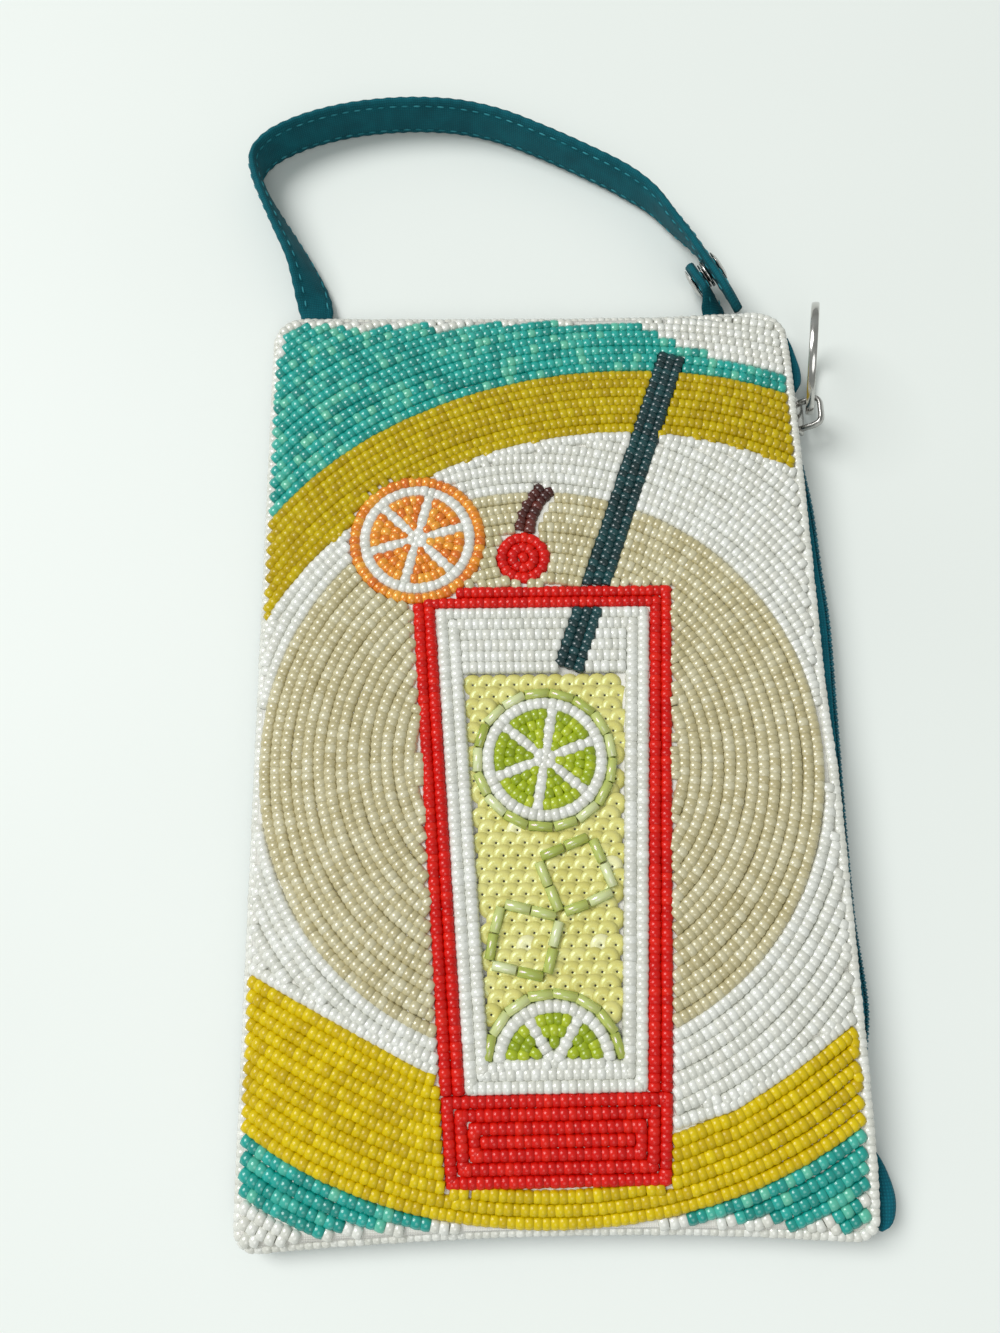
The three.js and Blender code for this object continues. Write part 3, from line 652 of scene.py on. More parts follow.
# White beads round the disc, in two corners and inside the drink's glass
# Pearly white seed beads in the same rows as the disc, with one row laid along the edge of each band. Two
# rows line the drink's glass, straight rows fill its empty top, and single beads fill what the rows leave.
ROW = 2.13
FRAME_WIDTH = 2 * ROW + 0.1
BASE_TOP = -65
RIM_UNDER = GLASS_TOP - FRAME_WIDTH
DRINK_TOP, DRINK_BOTTOM = 8.4, BASE_TOP + 2 * ROW + 0.2
DRINK_INSET = FRAME_WIDTH + 2 * ROW
WHITE_RINGS, WHITE_FILL_REACH = 16, 1.38


def off_disc(spots):
    return beyond(spots, DISC)


def short_of_bands(spots):
    """How far spots lie from the white rows along the two bands, on the disc's side."""
    over = -beyond(spots, OVER_INNER) - 0.75 * ROW
    under = spots[:, 1] - under_inner(spots[:, 0]) - 0.85 * ROW
    return np.where(spots[:, 1] > DISC[1], over, under)


along_over = ring_rows(OVER_INNER, OVER_INNER[2] - ROW / 2, 1, ROW, SEED_PITCH,
                       (above_ten, off_disc, *ground_limits), 0.05)
under_x = np.linspace(-55, 55, 90)
under_path = np.column_stack([under_x, under_inner(under_x) + 0.56 * ROW])
along_under = [laid_row(under_path, SEED_PITCH, (off_disc, *ground_limits))]
white_rings = ring_rows(DISC, DISC[2] + ROW / 2, WHITE_RINGS, ROW, SEED_PITCH,
                        (short_of_bands, *ground_limits))


def inset_loop(loop, inset):
    """A shape with straight sides and no dents, moved inwards on every side."""
    ends = np.roll(loop, -1, axis=0)
    run = (ends - loop) / np.linalg.norm(ends - loop, axis=1)[:, None]
    inward = np.column_stack([run[:, 1], -run[:, 0]])
    if depth_inside(((loop[:1] + ends[:1]) / 2) + 0.01 * inward[:1], loop)[0] < 0:
        inward = -inward
    starts = loop + inset * inward
    corners = []
    for i in range(len(loop)):
        before = np.column_stack([run[i - 1], -run[i]])
        share = np.linalg.solve(before, starts[i] - starts[i - 1])
        corners.append(starts[i - 1] + share[0] * run[i - 1])
    return np.array(corners)


def corner_beads(loop):
    """One bead at each corner of a row with straight sides."""
    run = np.roll(loop, -1, axis=0) - np.roll(loop, 1, axis=0)
    return np.column_stack([loop, np.arctan2(run[:, 1], run[:, 0])])


inner_glass = glass_loop(BASE_TOP, RIM_UNDER, FRAME_WIDTH)
inside_glass = []
for k in range(2):
    path = inset_loop(inner_glass, ROW * (k + 0.5))
    inside_glass.append(laid_row(path, SEED_PITCH, (off_straw, off_orange), closed=True))
    inside_glass.append(corner_beads(path))
for height in np.arange(RIM_UNDER - 2.5 * ROW, DRINK_TOP + 0.4 * ROW, -ROW):
    reach = glass_half(height) - DRINK_INSET - 0.1
    inside_glass.append(laid_row([(-reach, height), (reach, height)], SEED_PITCH, (off_straw, off_orange)))

white_rows = along_over + along_under + white_rings + corner_white + inside_glass
ground_places = (disc_places, over_places, under_places, teal_places)
white_places = filled(white_rows, ground_limits, ground_places, WHITE_FILL_REACH)
white_glass = bead_glass("pearly_white_glass", ("d4d5cb", "dbdbd1", "dfe0d8", "e5e6df"), shine=1.9)
white_beads = sewn("white_bead_rows", seed_bead, white_places, white_glass, seed=11)
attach(white_beads, "bag")
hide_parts("bead_white_upper", "bead_white_lower_left", "bead_white_lower_right",
            "bead_corner_upper_right", "bead_corner_lower_left")

# Red beads of the drink's glass and the cherry
# Opaque red seed beads, couched down in two rows round the glass, in nested rows that fill its thick foot,
# and in rings for the cherry.
BASE_RINGS = 3
CHERRY_RINGS, CHERRY_PITCH = (4.15, 2.1), 1.36
RED_GIRTH, RED_FILL_REACH = 1.22, 1.3
red_rows = []
for k in range(2):
    inset = ROW * (k + 0.5) + 0.05
    low = glass_half(BASE_TOP) - inset
    high = glass_half(GLASS_TOP) - inset
    path = [(-low, BASE_TOP), (-high, GLASS_TOP - inset), (high, GLASS_TOP - inset), (low, BASE_TOP)]
    red_rows.append(laid_row(path, SEED_PITCH, (off_orange,)))
    red_rows.append(np.array([(high, GLASS_TOP - inset, -0.8)]))
foot = glass_loop(GLASS_BOTTOM, BASE_TOP)
for k in range(BASE_RINGS):
    path = inset_loop(foot, ROW * (k + 0.5) + 0.05)
    red_rows.append(string_beads(path, SEED_PITCH, closed=True))
    red_rows.append(corner_beads(path))


def in_foot(spots):
    return depth_inside(spots[:, :2], foot) - 0.6


foot_middle = (GLASS_BOTTOM + BASE_TOP) / 2
foot_reach = glass_half(foot_middle) - BASE_RINGS * ROW - 0.1
red_rows.append(string_beads([(-foot_reach, foot_middle), (foot_reach, foot_middle)], SEED_PITCH))
for radius in CHERRY_RINGS:
    red_rows.append(string_beads(circle_path(*CHERRY[:2], radius), CHERRY_PITCH, closed=True))
red_rows.append(np.array([(CHERRY[0], CHERRY[1], 0.4)]))
red_glass = bead_glass("red_glass", ("c60c04", "cf0f06", "d61408", "dc1e0c"), coat=0.9, shine=1.45)
red_places = filled(red_rows, (in_foot,), reach=RED_FILL_REACH)
red_beads = sewn("red_bead_glass_and_cherry", seed_bead, red_places, red_glass, seed=12, girth=RED_GIRTH)
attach(red_beads, "bag")
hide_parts("bead_glass")

# The drink: sequins, lime slices and ice
# Flat pale-yellow sequins overlap like scales. Among them a whole lime slice, a half slice and two ice cubes
# are drawn with glass bugle tubes for rind and ice, white seed beads for pith and lime ones for the flesh.
LIME = (-0.4, -7.6, 13.3)
HALF_LIME = (-0.2, -60.4, 12.4)
ICE = (((4.6, -28.6), 22), ((-5.0, -39.8), -14))
ICE_SIDE, ICE_OPEN = 10.6, 0.06
LIME_ROWS, HALF_LIME_ROWS = (8.35, 6.5, 4.65, 2.9), (7.45, 5.6, 3.75, 2.2)
RIND_INSET, PITH_INSET, SPOKE_INSET, SPOKE_HALF = 0.95, 2.9, 3.9, 1.0
CUT_DROP, CUT_START, CUT_END = 0.5, 8.6, 12.6
BUGLE_LENGTH, BUGLE_WIDTH, BUGLE_HOLE, BUGLE_CHAMFER = 4.5, 1.75, 0.5, 0.12
SEQUIN_WIDTH, SEQUIN_STEP, SEQUIN_LIFT = 4.0, 2.6, 0.55
SEQUIN_TIP, SEQUIN_ROLL, SEQUIN_UNEVEN, SEQUIN_UNGLINTED_SHARE = 5, 4, 0.7, 0.97
SEQUIN_FIRST, SEQUIN_LAST, SEQUIN_NEST, SEQUIN_EDGE = 1.6, 0.6, 0.87, 0.7
UNDER_FRUIT = 0.6
drink_loop = glass_loop(DRINK_BOTTOM, DRINK_TOP, DRINK_INSET)


def spokes(slice_of, turns, start, end):
    """Straight rows of beads from the middle of a fruit slice outwards."""
    middle = np.array(slice_of[:2])
    rows = []
    for turn in np.radians(turns):
        run = np.array((math.cos(turn), math.sin(turn)))
        rows.append(string_beads([middle + start * run, middle + end * run], SEED_PITCH))
    return np.vstack(rows)


def segment_rows(slice_of, radii, turns):
    """Rows of beads for the flesh of a fruit slice, strung from spoke to spoke."""
    x, y, _ = slice_of
    rows = []
    for radius in radii:
        spare = math.degrees(SPOKE_HALF / radius)
        for start, end in zip(turns, turns[1:]):
            arc = np.radians(np.linspace(start + spare, end - spare, 12))
            if (arc[-1] - arc[0]) * radius > 0.8:
                path = np.column_stack([x + radius * np.cos(arc), y + radius * np.sin(arc)])
                rows.append(string_beads(path, SEED_PITCH))
    return np.vstack(rows)


lime_turns = np.arange(20, 381, 60)
half_turns = np.arange(0, 181, 60)
lime_flesh = np.vstack([
    segment_rows(LIME, LIME_ROWS, lime_turns),
    segment_rows(HALF_LIME, HALF_LIME_ROWS, half_turns),
])
lime_glass = bead_glass("lime_glass", ("8a9e06", "98ac0c", "a4b612", "b4c228"))
lime_beads = sewn("lime_bead_flesh", seed_bead, lime_flesh, lime_glass, seed=13)

half_arc = np.radians(np.linspace(4, 176, 40))
half_circle = np.column_stack([np.cos(half_arc), np.sin(half_arc)])
cut_x, cut_y = HALF_LIME[0], HALF_LIME[1] - CUT_DROP
lime_white = np.vstack([
    string_beads(circle_path(*LIME[:2], LIME[2] - PITH_INSET), SEED_PITCH, closed=True),
    spokes(LIME, lime_turns[:-1], 0.5, LIME[2] - SPOKE_INSET),
    np.array([(*LIME[:2], 0.6), (HALF_LIME[0], HALF_LIME[1] + 0.5, 0)]),
    string_beads([(cut_x - CUT_END, cut_y), (cut_x - CUT_START, cut_y)], SEED_PITCH),
    string_beads([(cut_x + CUT_START, cut_y), (cut_x + CUT_END, cut_y)], SEED_PITCH),
    string_beads(half_circle * (HALF_LIME[2] - PITH_INSET) + HALF_LIME[:2], SEED_PITCH),
    spokes(HALF_LIME, half_turns, 0.8, HALF_LIME[2] - SPOKE_INSET),
])
pith_beads = sewn("lime_bead_pith", seed_bead, lime_white, white_glass, seed=14)

rind = [
    string_beads(circle_path(*LIME[:2], LIME[2] - RIND_INSET), BUGLE_LENGTH + 0.1, closed=True),
    string_beads(half_circle * (HALF_LIME[2] - RIND_INSET) + HALF_LIME[:2], BUGLE_LENGTH),
]
for middle, turn in ICE:
    corner_turns = np.radians(turn + np.array((45, 135, 225, 315)))
    corners = np.column_stack([np.cos(corner_turns), np.sin(corner_turns)])
    corners = corners * ICE_SIDE / math.sqrt(2) + middle
    for a, b in zip(corners, np.roll(corners, -1, axis=0)):
        rind.append(string_beads([a + ICE_OPEN * (b - a), b - ICE_OPEN * (b - a)], BUGLE_LENGTH))
tube_rim = BUGLE_LENGTH / 2 - BUGLE_CHAMFER
bugle = spun_shape([(-BUGLE_LENGTH / 2, BUGLE_HOLE), (-tube_rim, BUGLE_WIDTH / 2),
                    (tube_rim, BUGLE_WIDTH / 2), (BUGLE_LENGTH / 2, BUGLE_HOLE)], sides=8)
bugle_glass = bead_glass("pale_green_bugle_glass", ("a2b446", "b2c25c", "c2d078", "dce6b0"), roughness=0.15,
                         film=420)
bugles = sewn("bugle_rind_and_ice", bugle, np.vstack(rind), bugle_glass, seed=15, girth=1.05, uneven=0.02,
              lean=0.03)

sequin_rim = SEQUIN_WIDTH / 2
sequin = spun_shape([(0.0, 0.2), (0.05, 0.22), (0.1, sequin_rim), (0.05, sequin_rim)], sides=14)
sequin_rows = []
sequin_heights = np.arange(DRINK_BOTTOM + SEQUIN_FIRST, DRINK_TOP - SEQUIN_LAST, SEQUIN_STEP * SEQUIN_NEST)
for k, height in enumerate(sequin_heights):
    across = np.arange(-20, 20, SEQUIN_STEP) + (k % 2) * SEQUIN_STEP / 2
    sequin_rows.append(np.column_stack([across, np.full(len(across), height)]))
sequin_places = np.vstack(sequin_rows)
keep = depth_inside(sequin_places, drink_loop) > SEQUIN_EDGE
keep &= beyond(sequin_places, LIME) > -UNDER_FRUIT
keep &= (beyond(sequin_places, HALF_LIME) > -UNDER_FRUIT) | (sequin_places[:, 1] < HALF_LIME[1])
sequin_places = sequin_places[keep]
sequin_draw = np.random.default_rng(5)
tip = np.radians(SEQUIN_TIP + SEQUIN_UNEVEN * sequin_draw.standard_normal(len(sequin_places)))
roll = np.radians(SEQUIN_ROLL + SEQUIN_UNEVEN * sequin_draw.standard_normal(len(sequin_places)))
axis = np.column_stack([np.sin(roll), -np.sin(tip), np.cos(tip) * np.cos(roll)])
axis /= np.linalg.norm(axis, axis=1)[:, None]
side = np.cross(np.array((0, 1.0, 0)), axis)
side /= np.linalg.norm(side, axis=1)[:, None]
sequin_frames = np.stack([axis, side, np.cross(axis, side)], axis=2)
sequin_lift = ground_height(sequin_places[:, 0], sequin_places[:, 1]) + SEQUIN_LIFT
# Each sequin takes a random shade of pale yellow. A few take the palest colour instead, as a painted glint
# for sequins that catch the light.
sequin_tone_and_glint = 0.7 * sequin_draw.random(len(sequin_places))
sequin_tone_and_glint[sequin_draw.random(len(sequin_places)) > SEQUIN_UNGLINTED_SHARE] = 1
sequin_film = bead_glass("pale_yellow_sequin_painted_glints", ("d6cc70", "ddd47c", "e2da86", "f1ecb4"), coat=0.6, film=300)
sequin_origins = np.column_stack([sequin_places, sequin_lift])
sequins = repeated("drink_sequins", sequin, sequin_origins, sequin_frames, sequin_tone_and_glint, sequin_film)
for piece in (lime_beads, pith_beads, bugles, sequins):
    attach(piece, "bag")
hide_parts("bead_drink")

# Straw, orange slice and cherry stem
# A straight straw of three rows of bottle-green beads passes behind the rim. An orange slice with white pith
# sits over the corner of the glass, and two rows of brown beads make the cherry's stem.
FINE_PITCH, FINE_HOLE = 1.34, 0.4
ORANGE_ROWS = (8.2, 6.3, 4.4, 2.7)


def off_rim(spots):
    return np.maximum(RIM_UNDER - spots[:, 1], spots[:, 1] - GLASS_TOP)


straw_run = (STRAW_TIP - STRAW_FOOT) / np.linalg.norm(STRAW_TIP - STRAW_FOOT)
straw_side = np.array((-straw_run[1], straw_run[0]))
straw_rows = []
for k in range(STRAW_ROWS):
    offset = straw_side * STRAW_PITCH * (k - (STRAW_ROWS - 1) / 2)
    straw_rows.append(laid_row([STRAW_FOOT + offset, STRAW_TIP + offset], FINE_PITCH, (off_rim,)))
green_glass = bead_glass("bottle_green_glass", ("04282a", "063033", "08393c", "0d4447"), roughness=0.25)
straw_bead = bead_shape(1.65, 1.9, FINE_HOLE)
straw_beads = sewn("green_bead_straw", straw_bead, np.vstack(straw_rows), green_glass, seed=16)

orange_turns = np.arange(15, 376, 60)
orange_places = np.vstack([
    string_beads(circle_path(*ORANGE[:2], ORANGE[2] - 1.0), SEED_PITCH, closed=True),
    segment_rows(ORANGE, ORANGE_ROWS, orange_turns),
])
orange_glass = bead_glass("lustred_orange_glass", ("d8660a", "e27c10", "ea8e18", "f0a636"), roughness=0.25,
                          film=360)
orange_beads = sewn("orange_bead_slice", seed_bead, orange_places, orange_glass, seed=17)
orange_white = np.vstack([
    string_beads(circle_path(*ORANGE[:2], ORANGE[2] - 3.05), SEED_PITCH, closed=True),
    spokes(ORANGE, orange_turns[:-1], 0.5, ORANGE[2] - 4.05),
    np.array([(*ORANGE[:2], 0.6)]),
])
orange_pith = sewn("orange_bead_pith", seed_bead, orange_white, white_glass, seed=18)
stem_rows = []
for offset in (-0.95, 0.95):
    stem_rows.append(string_beads(STEM + np.array((offset, -0.3 * offset)), FINE_PITCH))
brown_glass = bead_glass("brown_glass", ("3a120c", "471811", "541f17", "64291f"))
stem_bead = bead_shape(1.62, 1.95, FINE_HOLE)
stem_beads = sewn("brown_bead_stem", stem_bead, np.vstack(stem_rows), brown_glass, seed=19)
for piece in (straw_beads, orange_beads, orange_pith, stem_beads):
    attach(piece, "bag")

# Bead edging
# One string of white seed beads whipped to the seam all round the front, lower where it follows the seam and
# higher along the zip.
EDGING_INSET, EDGING_PITCH, EDGING_GIRTH = 1.05, 1.42, 1.15
EDGING_DROP, ZIP_SIDE_LIFT = 2, 0.9


def smoothstep(value, low, high):
    share = np.clip((value - low) / (high - low), 0, 1)
    return share * share * (3 - 2 * share)


def edging_height(x, y):
    return bead_top(x, y) - EDGING_DROP + ZIP_SIDE_LIFT * smoothstep(x, 25, 50)


edging_places = string_beads(bag_outline(EDGING_INSET), EDGING_PITCH, closed=True)
edging_bead = bead_shape(SEED_LENGTH, SEED_WIDTH, FINE_HOLE)
edging = sewn("bead_edging_string", edging_bead, edging_places, white_glass, seed=20, height=edging_height,
              girth=EDGING_GIRTH)
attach(edging, "bag")
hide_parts("bead_edging")

# Back of the bag
# One plain panel of teal woven cloth that lies on the table. Its edge turns up to the bead edging at the
# seam, lies under the strap and the tab where they are caught in, and stays low along the zip.
BACK_INSET, BACK_RIGHT, BACK_CELLS = 0.9, 55, (56, 84)
BACK_THICKNESS = 0.6
SEAM_RISE, ZIP_SIDE_RISE = 2.85, 0.7
SIDE_TURN, END_TURN, ZIP_TURN, BAND_TURN = (43, 54.1), (76, 88.5), (46, 54), (78, 84)
CAUGHT_IN = ((-46.4, 3.5), (39.6, 2.4))


def back_under(x, y):
    side = np.where(x < 0, smoothstep(-x, *SIDE_TURN), 0)
    end = smoothstep(np.abs(y), *END_TURN)
    rise = SEAM_RISE * (1 - (1 - side) * (1 - end))
    for middle, half in CAUGHT_IN:
        under_band = 1 - smoothstep(np.abs(x - middle), half + 0.8, half + 5)
        rise = rise * (1 - under_band * smoothstep(y, *BAND_TURN))
    return np.maximum(rise, ZIP_SIDE_RISE * smoothstep(x, *ZIP_TURN))


def back_top(x, y):
    return back_under(x, y) + BACK_THICKNESS


teal_cloth = woven_cloth("teal_woven_cloth", ("0a2f3a", "12495a", "1b6072"), thread=0.45)
back_loop = bag_outline(BACK_INSET, right=BACK_RIGHT)
back = cloth_panel("back_cloth", back_loop, back_top, BACK_CELLS, BACK_THICKNESS, teal_cloth)
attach(back, "bag")
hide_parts("back_panel")

# Zip tapes and their folded ends
# Two woven polyester tapes sewn behind the edges of front and back, meeting behind the coil down the right
# side. Past each end of the coil they run on under the corner and are folded into a soft lump.
ZIP_SEAM_X, ZIP_SEAM_DROP, ZIP_LOW = 50.6, 3.1, 1.55
FRONT_EDGE_DROP, BACK_EDGE_LIFT, MEETING_HALF, MEETING_BEHIND = 1.2, 0.35, 0.75, 0.45
TAPE_END, TAPE_STATIONS, TAPE_THICKNESS = 83, 84, 0.6
ZIP_LINE = np.array([
    (-75, 54.2, 8), (-64, 54.6, 8), (-53, 56.4, 8), (-37, 55.7, 8), (-18, 55.9, 8), (2, 56.4, 8),
    (20, 56.8, 8), (31, 56.3, 8), (43, 55.9, 12), (53, 54.9, 26), (60, 54, 40), (65, 53.9, 40),
    (70, 53.9, 40), (77, 53.7, 40)])


def smooth_line(points, per_leg=12):
    """A smooth line through points, at an even count of steps in each leg."""
    points = np.asarray(points, float)
    padded = np.vstack([2 * points[0] - points[1], points, 2 * points[-1] - points[-2]])
    line = []
    for i in range(1, len(padded) - 2):
        p0, p1, p2, p3 = padded[i - 1:i + 3]
        d0, d1, d2 = [math.sqrt(max(np.linalg.norm(b - a), 1e-6)) for a, b in ((p0, p1), (p1, p2), (p2, p3))]
        leave = ((p1 - p0) / d0 - (p2 - p0) / (d0 + d1) + (p2 - p1) / d1) * d1
        arrive = ((p2 - p1) / d1 - (p3 - p1) / (d1 + d2) + (p3 - p2) / d2) * d1
        t = np.arange(per_leg)[:, None] / per_leg
        line.append((2 * t**3 - 3 * t**2 + 1) * p1 + (t**3 - 2 * t**2 + t) * leave
                    + (-2 * t**3 + 3 * t**2) * p2 + (t**3 - t**2) * arrive)
    return np.vstack(line + [points[-1:]])


zip_smooth = smooth_line(ZIP_LINE)


def zip_station(y):
    """Middle of the coil, the way its face looks and the way across it, at a height on the bag."""
    x = np.interp(y, zip_smooth[:, 0], zip_smooth[:, 1])
    lean = np.radians(np.interp(y, zip_smooth[:, 0], zip_smooth[:, 2]))
    seam = float(bead_top(np.array(ZIP_SEAM_X), np.array(y))) - ZIP_SEAM_DROP
    middle = np.array((x, y, (ZIP_LOW + seam) / 2))
    facing = np.array((math.cos(lean), 0, math.sin(lean)))
    across = np.array((-math.sin(lean), 0, math.cos(lean)))
    return middle, facing, across, seam


def swept(name, sections, material):
    """A skin through matching closed sections, with UVs in metres along and round it."""
    sections = np.asarray(sections, float)
    stations, around = sections.shape[:2]
    bm = bmesh.new()
    uv = bm.loops.layers.uv.new("cloth")
    bmesh.ops.create_grid(bm, x_segments=stations - 1, y_segments=around, size=1, calc_uvs=False)
    step = np.linalg.norm(np.diff(sections.mean(1), axis=0), axis=1)
    along = np.concatenate([[0], np.cumsum(step)])
    ring = np.vstack([sections[stations // 2], sections[stations // 2][:1]])
    round_it = np.concatenate([[0], np.cumsum(np.linalg.norm(np.diff(ring, axis=0), axis=1))])
    cell = {}
    for vert in bm.verts:
        cell[vert] = (round((vert.co.x + 1) / 2 * (stations - 1)), round((vert.co.y + 1) / 2 * around))
    for face in bm.faces:
        for loop in face.loops:
            i, j = cell[loop.vert]
            loop[uv].uv = (along[i] * MM, round_it[j] * MM)
    for vert, (i, j) in cell.items():
        vert.co = Vector(sections[i, j % around]) * MM
    bmesh.ops.remove_doubles(bm, verts=bm.verts[:], dist=1e-7)
    bmesh.ops.holes_fill(bm, edges=[edge for edge in bm.edges if edge.is_boundary], sides=around)
    bmesh.ops.recalc_face_normals(bm, faces=bm.faces[:])
    return finished(name, bm, material)


def flat_section(middle, across, out, half_width, half_thick):
    """A flat band's cross-section with rounded edges."""
    upper = [(-1, 0.35), (-0.94, 0.9), (-0.8, 1), (-0.4, 1), (0, 1), (0.4, 1), (0.8, 1), (0.94, 0.9),
             (1, 0.35)]
    lower = [(w, -h) for w, h in reversed(upper)]
    shape = lower[-1:] + upper + lower[:-1]
    return [middle + across * w * half_width + out * h * half_thick for w, h in shape]


def tape_sections(front):
    sections = []
    for y in np.linspace(-TAPE_END, TAPE_END, TAPE_STATIONS):
        middle, facing, across, seam = zip_station(y)
        if front:
            sewn_edge = np.array((ZIP_SEAM_X, y, seam - FRONT_EDGE_DROP))
            meeting = middle + across * MEETING_HALF - facing * MEETING_BEHIND
        else:
            sewn_edge = np.array((ZIP_SEAM_X, y, ZIP_LOW + BACK_EDGE_LIFT))
            meeting = middle - across * MEETING_HALF - facing * MEETING_BEHIND
        run = meeting - sewn_edge
        width = np.linalg.norm(run)
        run = run / width
        out = np.array((-run[2], 0, run[0]))
        sections.append(flat_section((sewn_edge + meeting) / 2, run, out, width / 2, TAPE_THICKNESS / 2))
    return sections


tape_cloth = woven_cloth("teal_zip_tape", ("064350", "0a5c6c", "107384"), thread=0.55, coordinates="UV",
                         sheen=0.05)
tape_front = swept("zip_tape_front_cloth", tape_sections(True), tape_cloth)
tape_back = swept("zip_tape_back_cloth", tape_sections(False), tape_cloth)

END_HALF_HEIGHT = 1.6
TOP_FOLD = [(54.9, 84.2), (56, 80.5), (56.9, 76.5), (56.7, 73.5), (55.8, 72)]
BOTTOM_FOLD = [(55.4, -75.6), (57.2, -79), (58.4, -84), (57.4, -87.6), (55.4, -88.8)]


def folded_end(name, outer, inner_x, middle_z):
    """A folded lump of tape, from its outer line in plan."""
    line = smooth_line(outer, 6)
    line = line[np.argsort(line[:, 1])]
    sections = []
    for y in np.linspace(line[0, 1] + 0.05, line[-1, 1] - 0.05, 22):
        edge = np.interp(y, line[:, 1], line[:, 0])
        half = max(0.25, (edge - inner_x) / 2)
        tall = END_HALF_HEIGHT * min(1, 0.35 + half)
        middle = np.array((inner_x + half, y, middle_z))
        section = []
        for turn in np.radians(np.arange(0, 360, 22.5)):
            pinch = 1 - 0.22 * math.exp(-((math.sin(turn)) ** 2) / 0.03)
            section.append(middle + np.array((half * math.cos(turn) * pinch, 0, tall * math.sin(turn))))
        sections.append(section)
    return swept(name, sections, tape_cloth)


top_end = folded_end("zip_top_fold", TOP_FOLD, inner_x=54.2, middle_z=3.2)
bottom_end = folded_end("zip_bottom_fold", BOTTOM_FOLD, inner_x=54.9, middle_z=3.0)
for piece, node in ((tape_front, "zip_tape_front"), (tape_back, "zip_tape_back"), (top_end, "zip_top_end"),
                    (bottom_end, "zip_bottom_end")):
    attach(piece, "bag")
    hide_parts(node)

# Zip coil
# A nylon coil zip, closed below the slider: two rows of small rounded teeth that lock into each other, teal
# like the tape and sewn along its edge.
TOOTH_PITCH, TOOTH_HOOK = 0.62, 0.24
TOOTH_HALF = (0.38, 0.5, 0.78)


def tooth_row(name, material, start, end):
    """Teeth of the closed coil between two heights on the bag."""
    bm = bmesh.new()
    bmesh.ops.create_uvsphere(bm, u_segments=8, v_segments=5, radius=1)
    points, faces = lifted_from(bm)
    origins = []
    frames = []
    for k, y in enumerate(np.arange(start, end, TOOTH_PITCH)):
        middle, facing, across, _ = zip_station(y)
        origins.append(middle + across * (TOOTH_HOOK if k % 2 else -TOOTH_HOOK))
        frames.append(np.array([(0, 1, 0), facing, across]).T)
    tints = np.zeros(len(origins))
    return repeated(name, (points * TOOTH_HALF, faces), np.array(origins), np.array(frames), tints, material)


def mottled(name, codes, roughness, scale, detail=2):
    """A material that drifts between a few shades in cloudy patches, with its tree, shader and cloud."""
    material, tree, shader = new_material(name, roughness)
    cloud = tree.nodes.new("ShaderNodeTexNoise")
    cloud.inputs["Scale"].default_value = scale
    cloud.inputs["Detail"].default_value = detail
    tree.links.new(tree.nodes.new("ShaderNodeTexCoord").outputs["Object"], cloud.inputs["Vector"])
    tree.links.new(ramp(tree, cloud.outputs["Fac"], *codes), shader.inputs["Base Color"])
    return material, tree, shader, cloud.outputs["Fac"]


nylon, *_ = mottled("teal_nylon", ("064550", "0b6070", "127888"), roughness=0.42, scale=500)
coil = tooth_row("zip_coil_teeth", nylon, start=-74.8, end=64.6)
coil_end = tooth_row("zip_coil_top_teeth", nylon, start=69.6, end=76)
for piece, node in ((coil, "zip_coil"), (coil_end, "zip_coil_end")):
    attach(piece, "bag")
    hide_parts(node)

# Zip slider
# Cast and nickel-plated: a shield-shaped plate over the coil, a keel between the parted teeth, and a bridge
# that holds the pull ring.
SLIDER_Y, SLIDER_LENGTH, SLIDER_HALF_WIDTH = 65, 8, 2.1
PLATE_LOW, PLATE_HIGH, EDGE_ROUND = 1.0, 1.8, 0.22
KEEL_HEIGHT, KEEL_WIDTH, KEEL_OUT = 1.8, 1.6, 0.3
BRIDGE_WIDTH, BRIDGE_BAR = 1.6, 0.95
HOLE_LENGTH, HOLE_HEIGHT = 5, 3.8


def plated_metal(name, codes, roughness):
    """Nickel plate with fine rub marks and cloudy patches."""
    material, tree, shader, cloud = mottled(name, codes, roughness, scale=450, detail=5)
    worn = tree.nodes.new("ShaderNodeMapRange")
    worn.inputs["To Min"].default_value = 0.6 * roughness
    worn.inputs["To Max"].default_value = 1.6 * roughness
    tree.links.new(cloud, worn.inputs["Value"])
    tree.links.new(worn.outputs["Result"], shader.inputs["Roughness"])
    shader.inputs["Metallic"].default_value = 1
    return material


nickel = plated_metal("worn_nickel", ("8d8a86", "b7b5b1", "d2d1ce"), 0.22)
slider_middle, slider_out, slider_across, _ = zip_station(SLIDER_Y)
slider_frame = np.array([(0, 1, 0), slider_out, slider_across]).T


def set_down(name, bm, turned, middle, material):
    """A piece made in millimetres about its own middle, turned and moved to its place on the bag."""
    for vert in bm.verts:
        vert.co = Vector(turned @ np.array(vert.co) + middle) * MM
    bmesh.ops.recalc_face_normals(bm, faces=bm.faces[:])
    return finished(name, bm, material)


def in_slider(points):
    """Points given along the zip, out from its face and across it, in the bag's frame."""
    return np.asarray(points, float) @ slider_frame.T + slider_middle


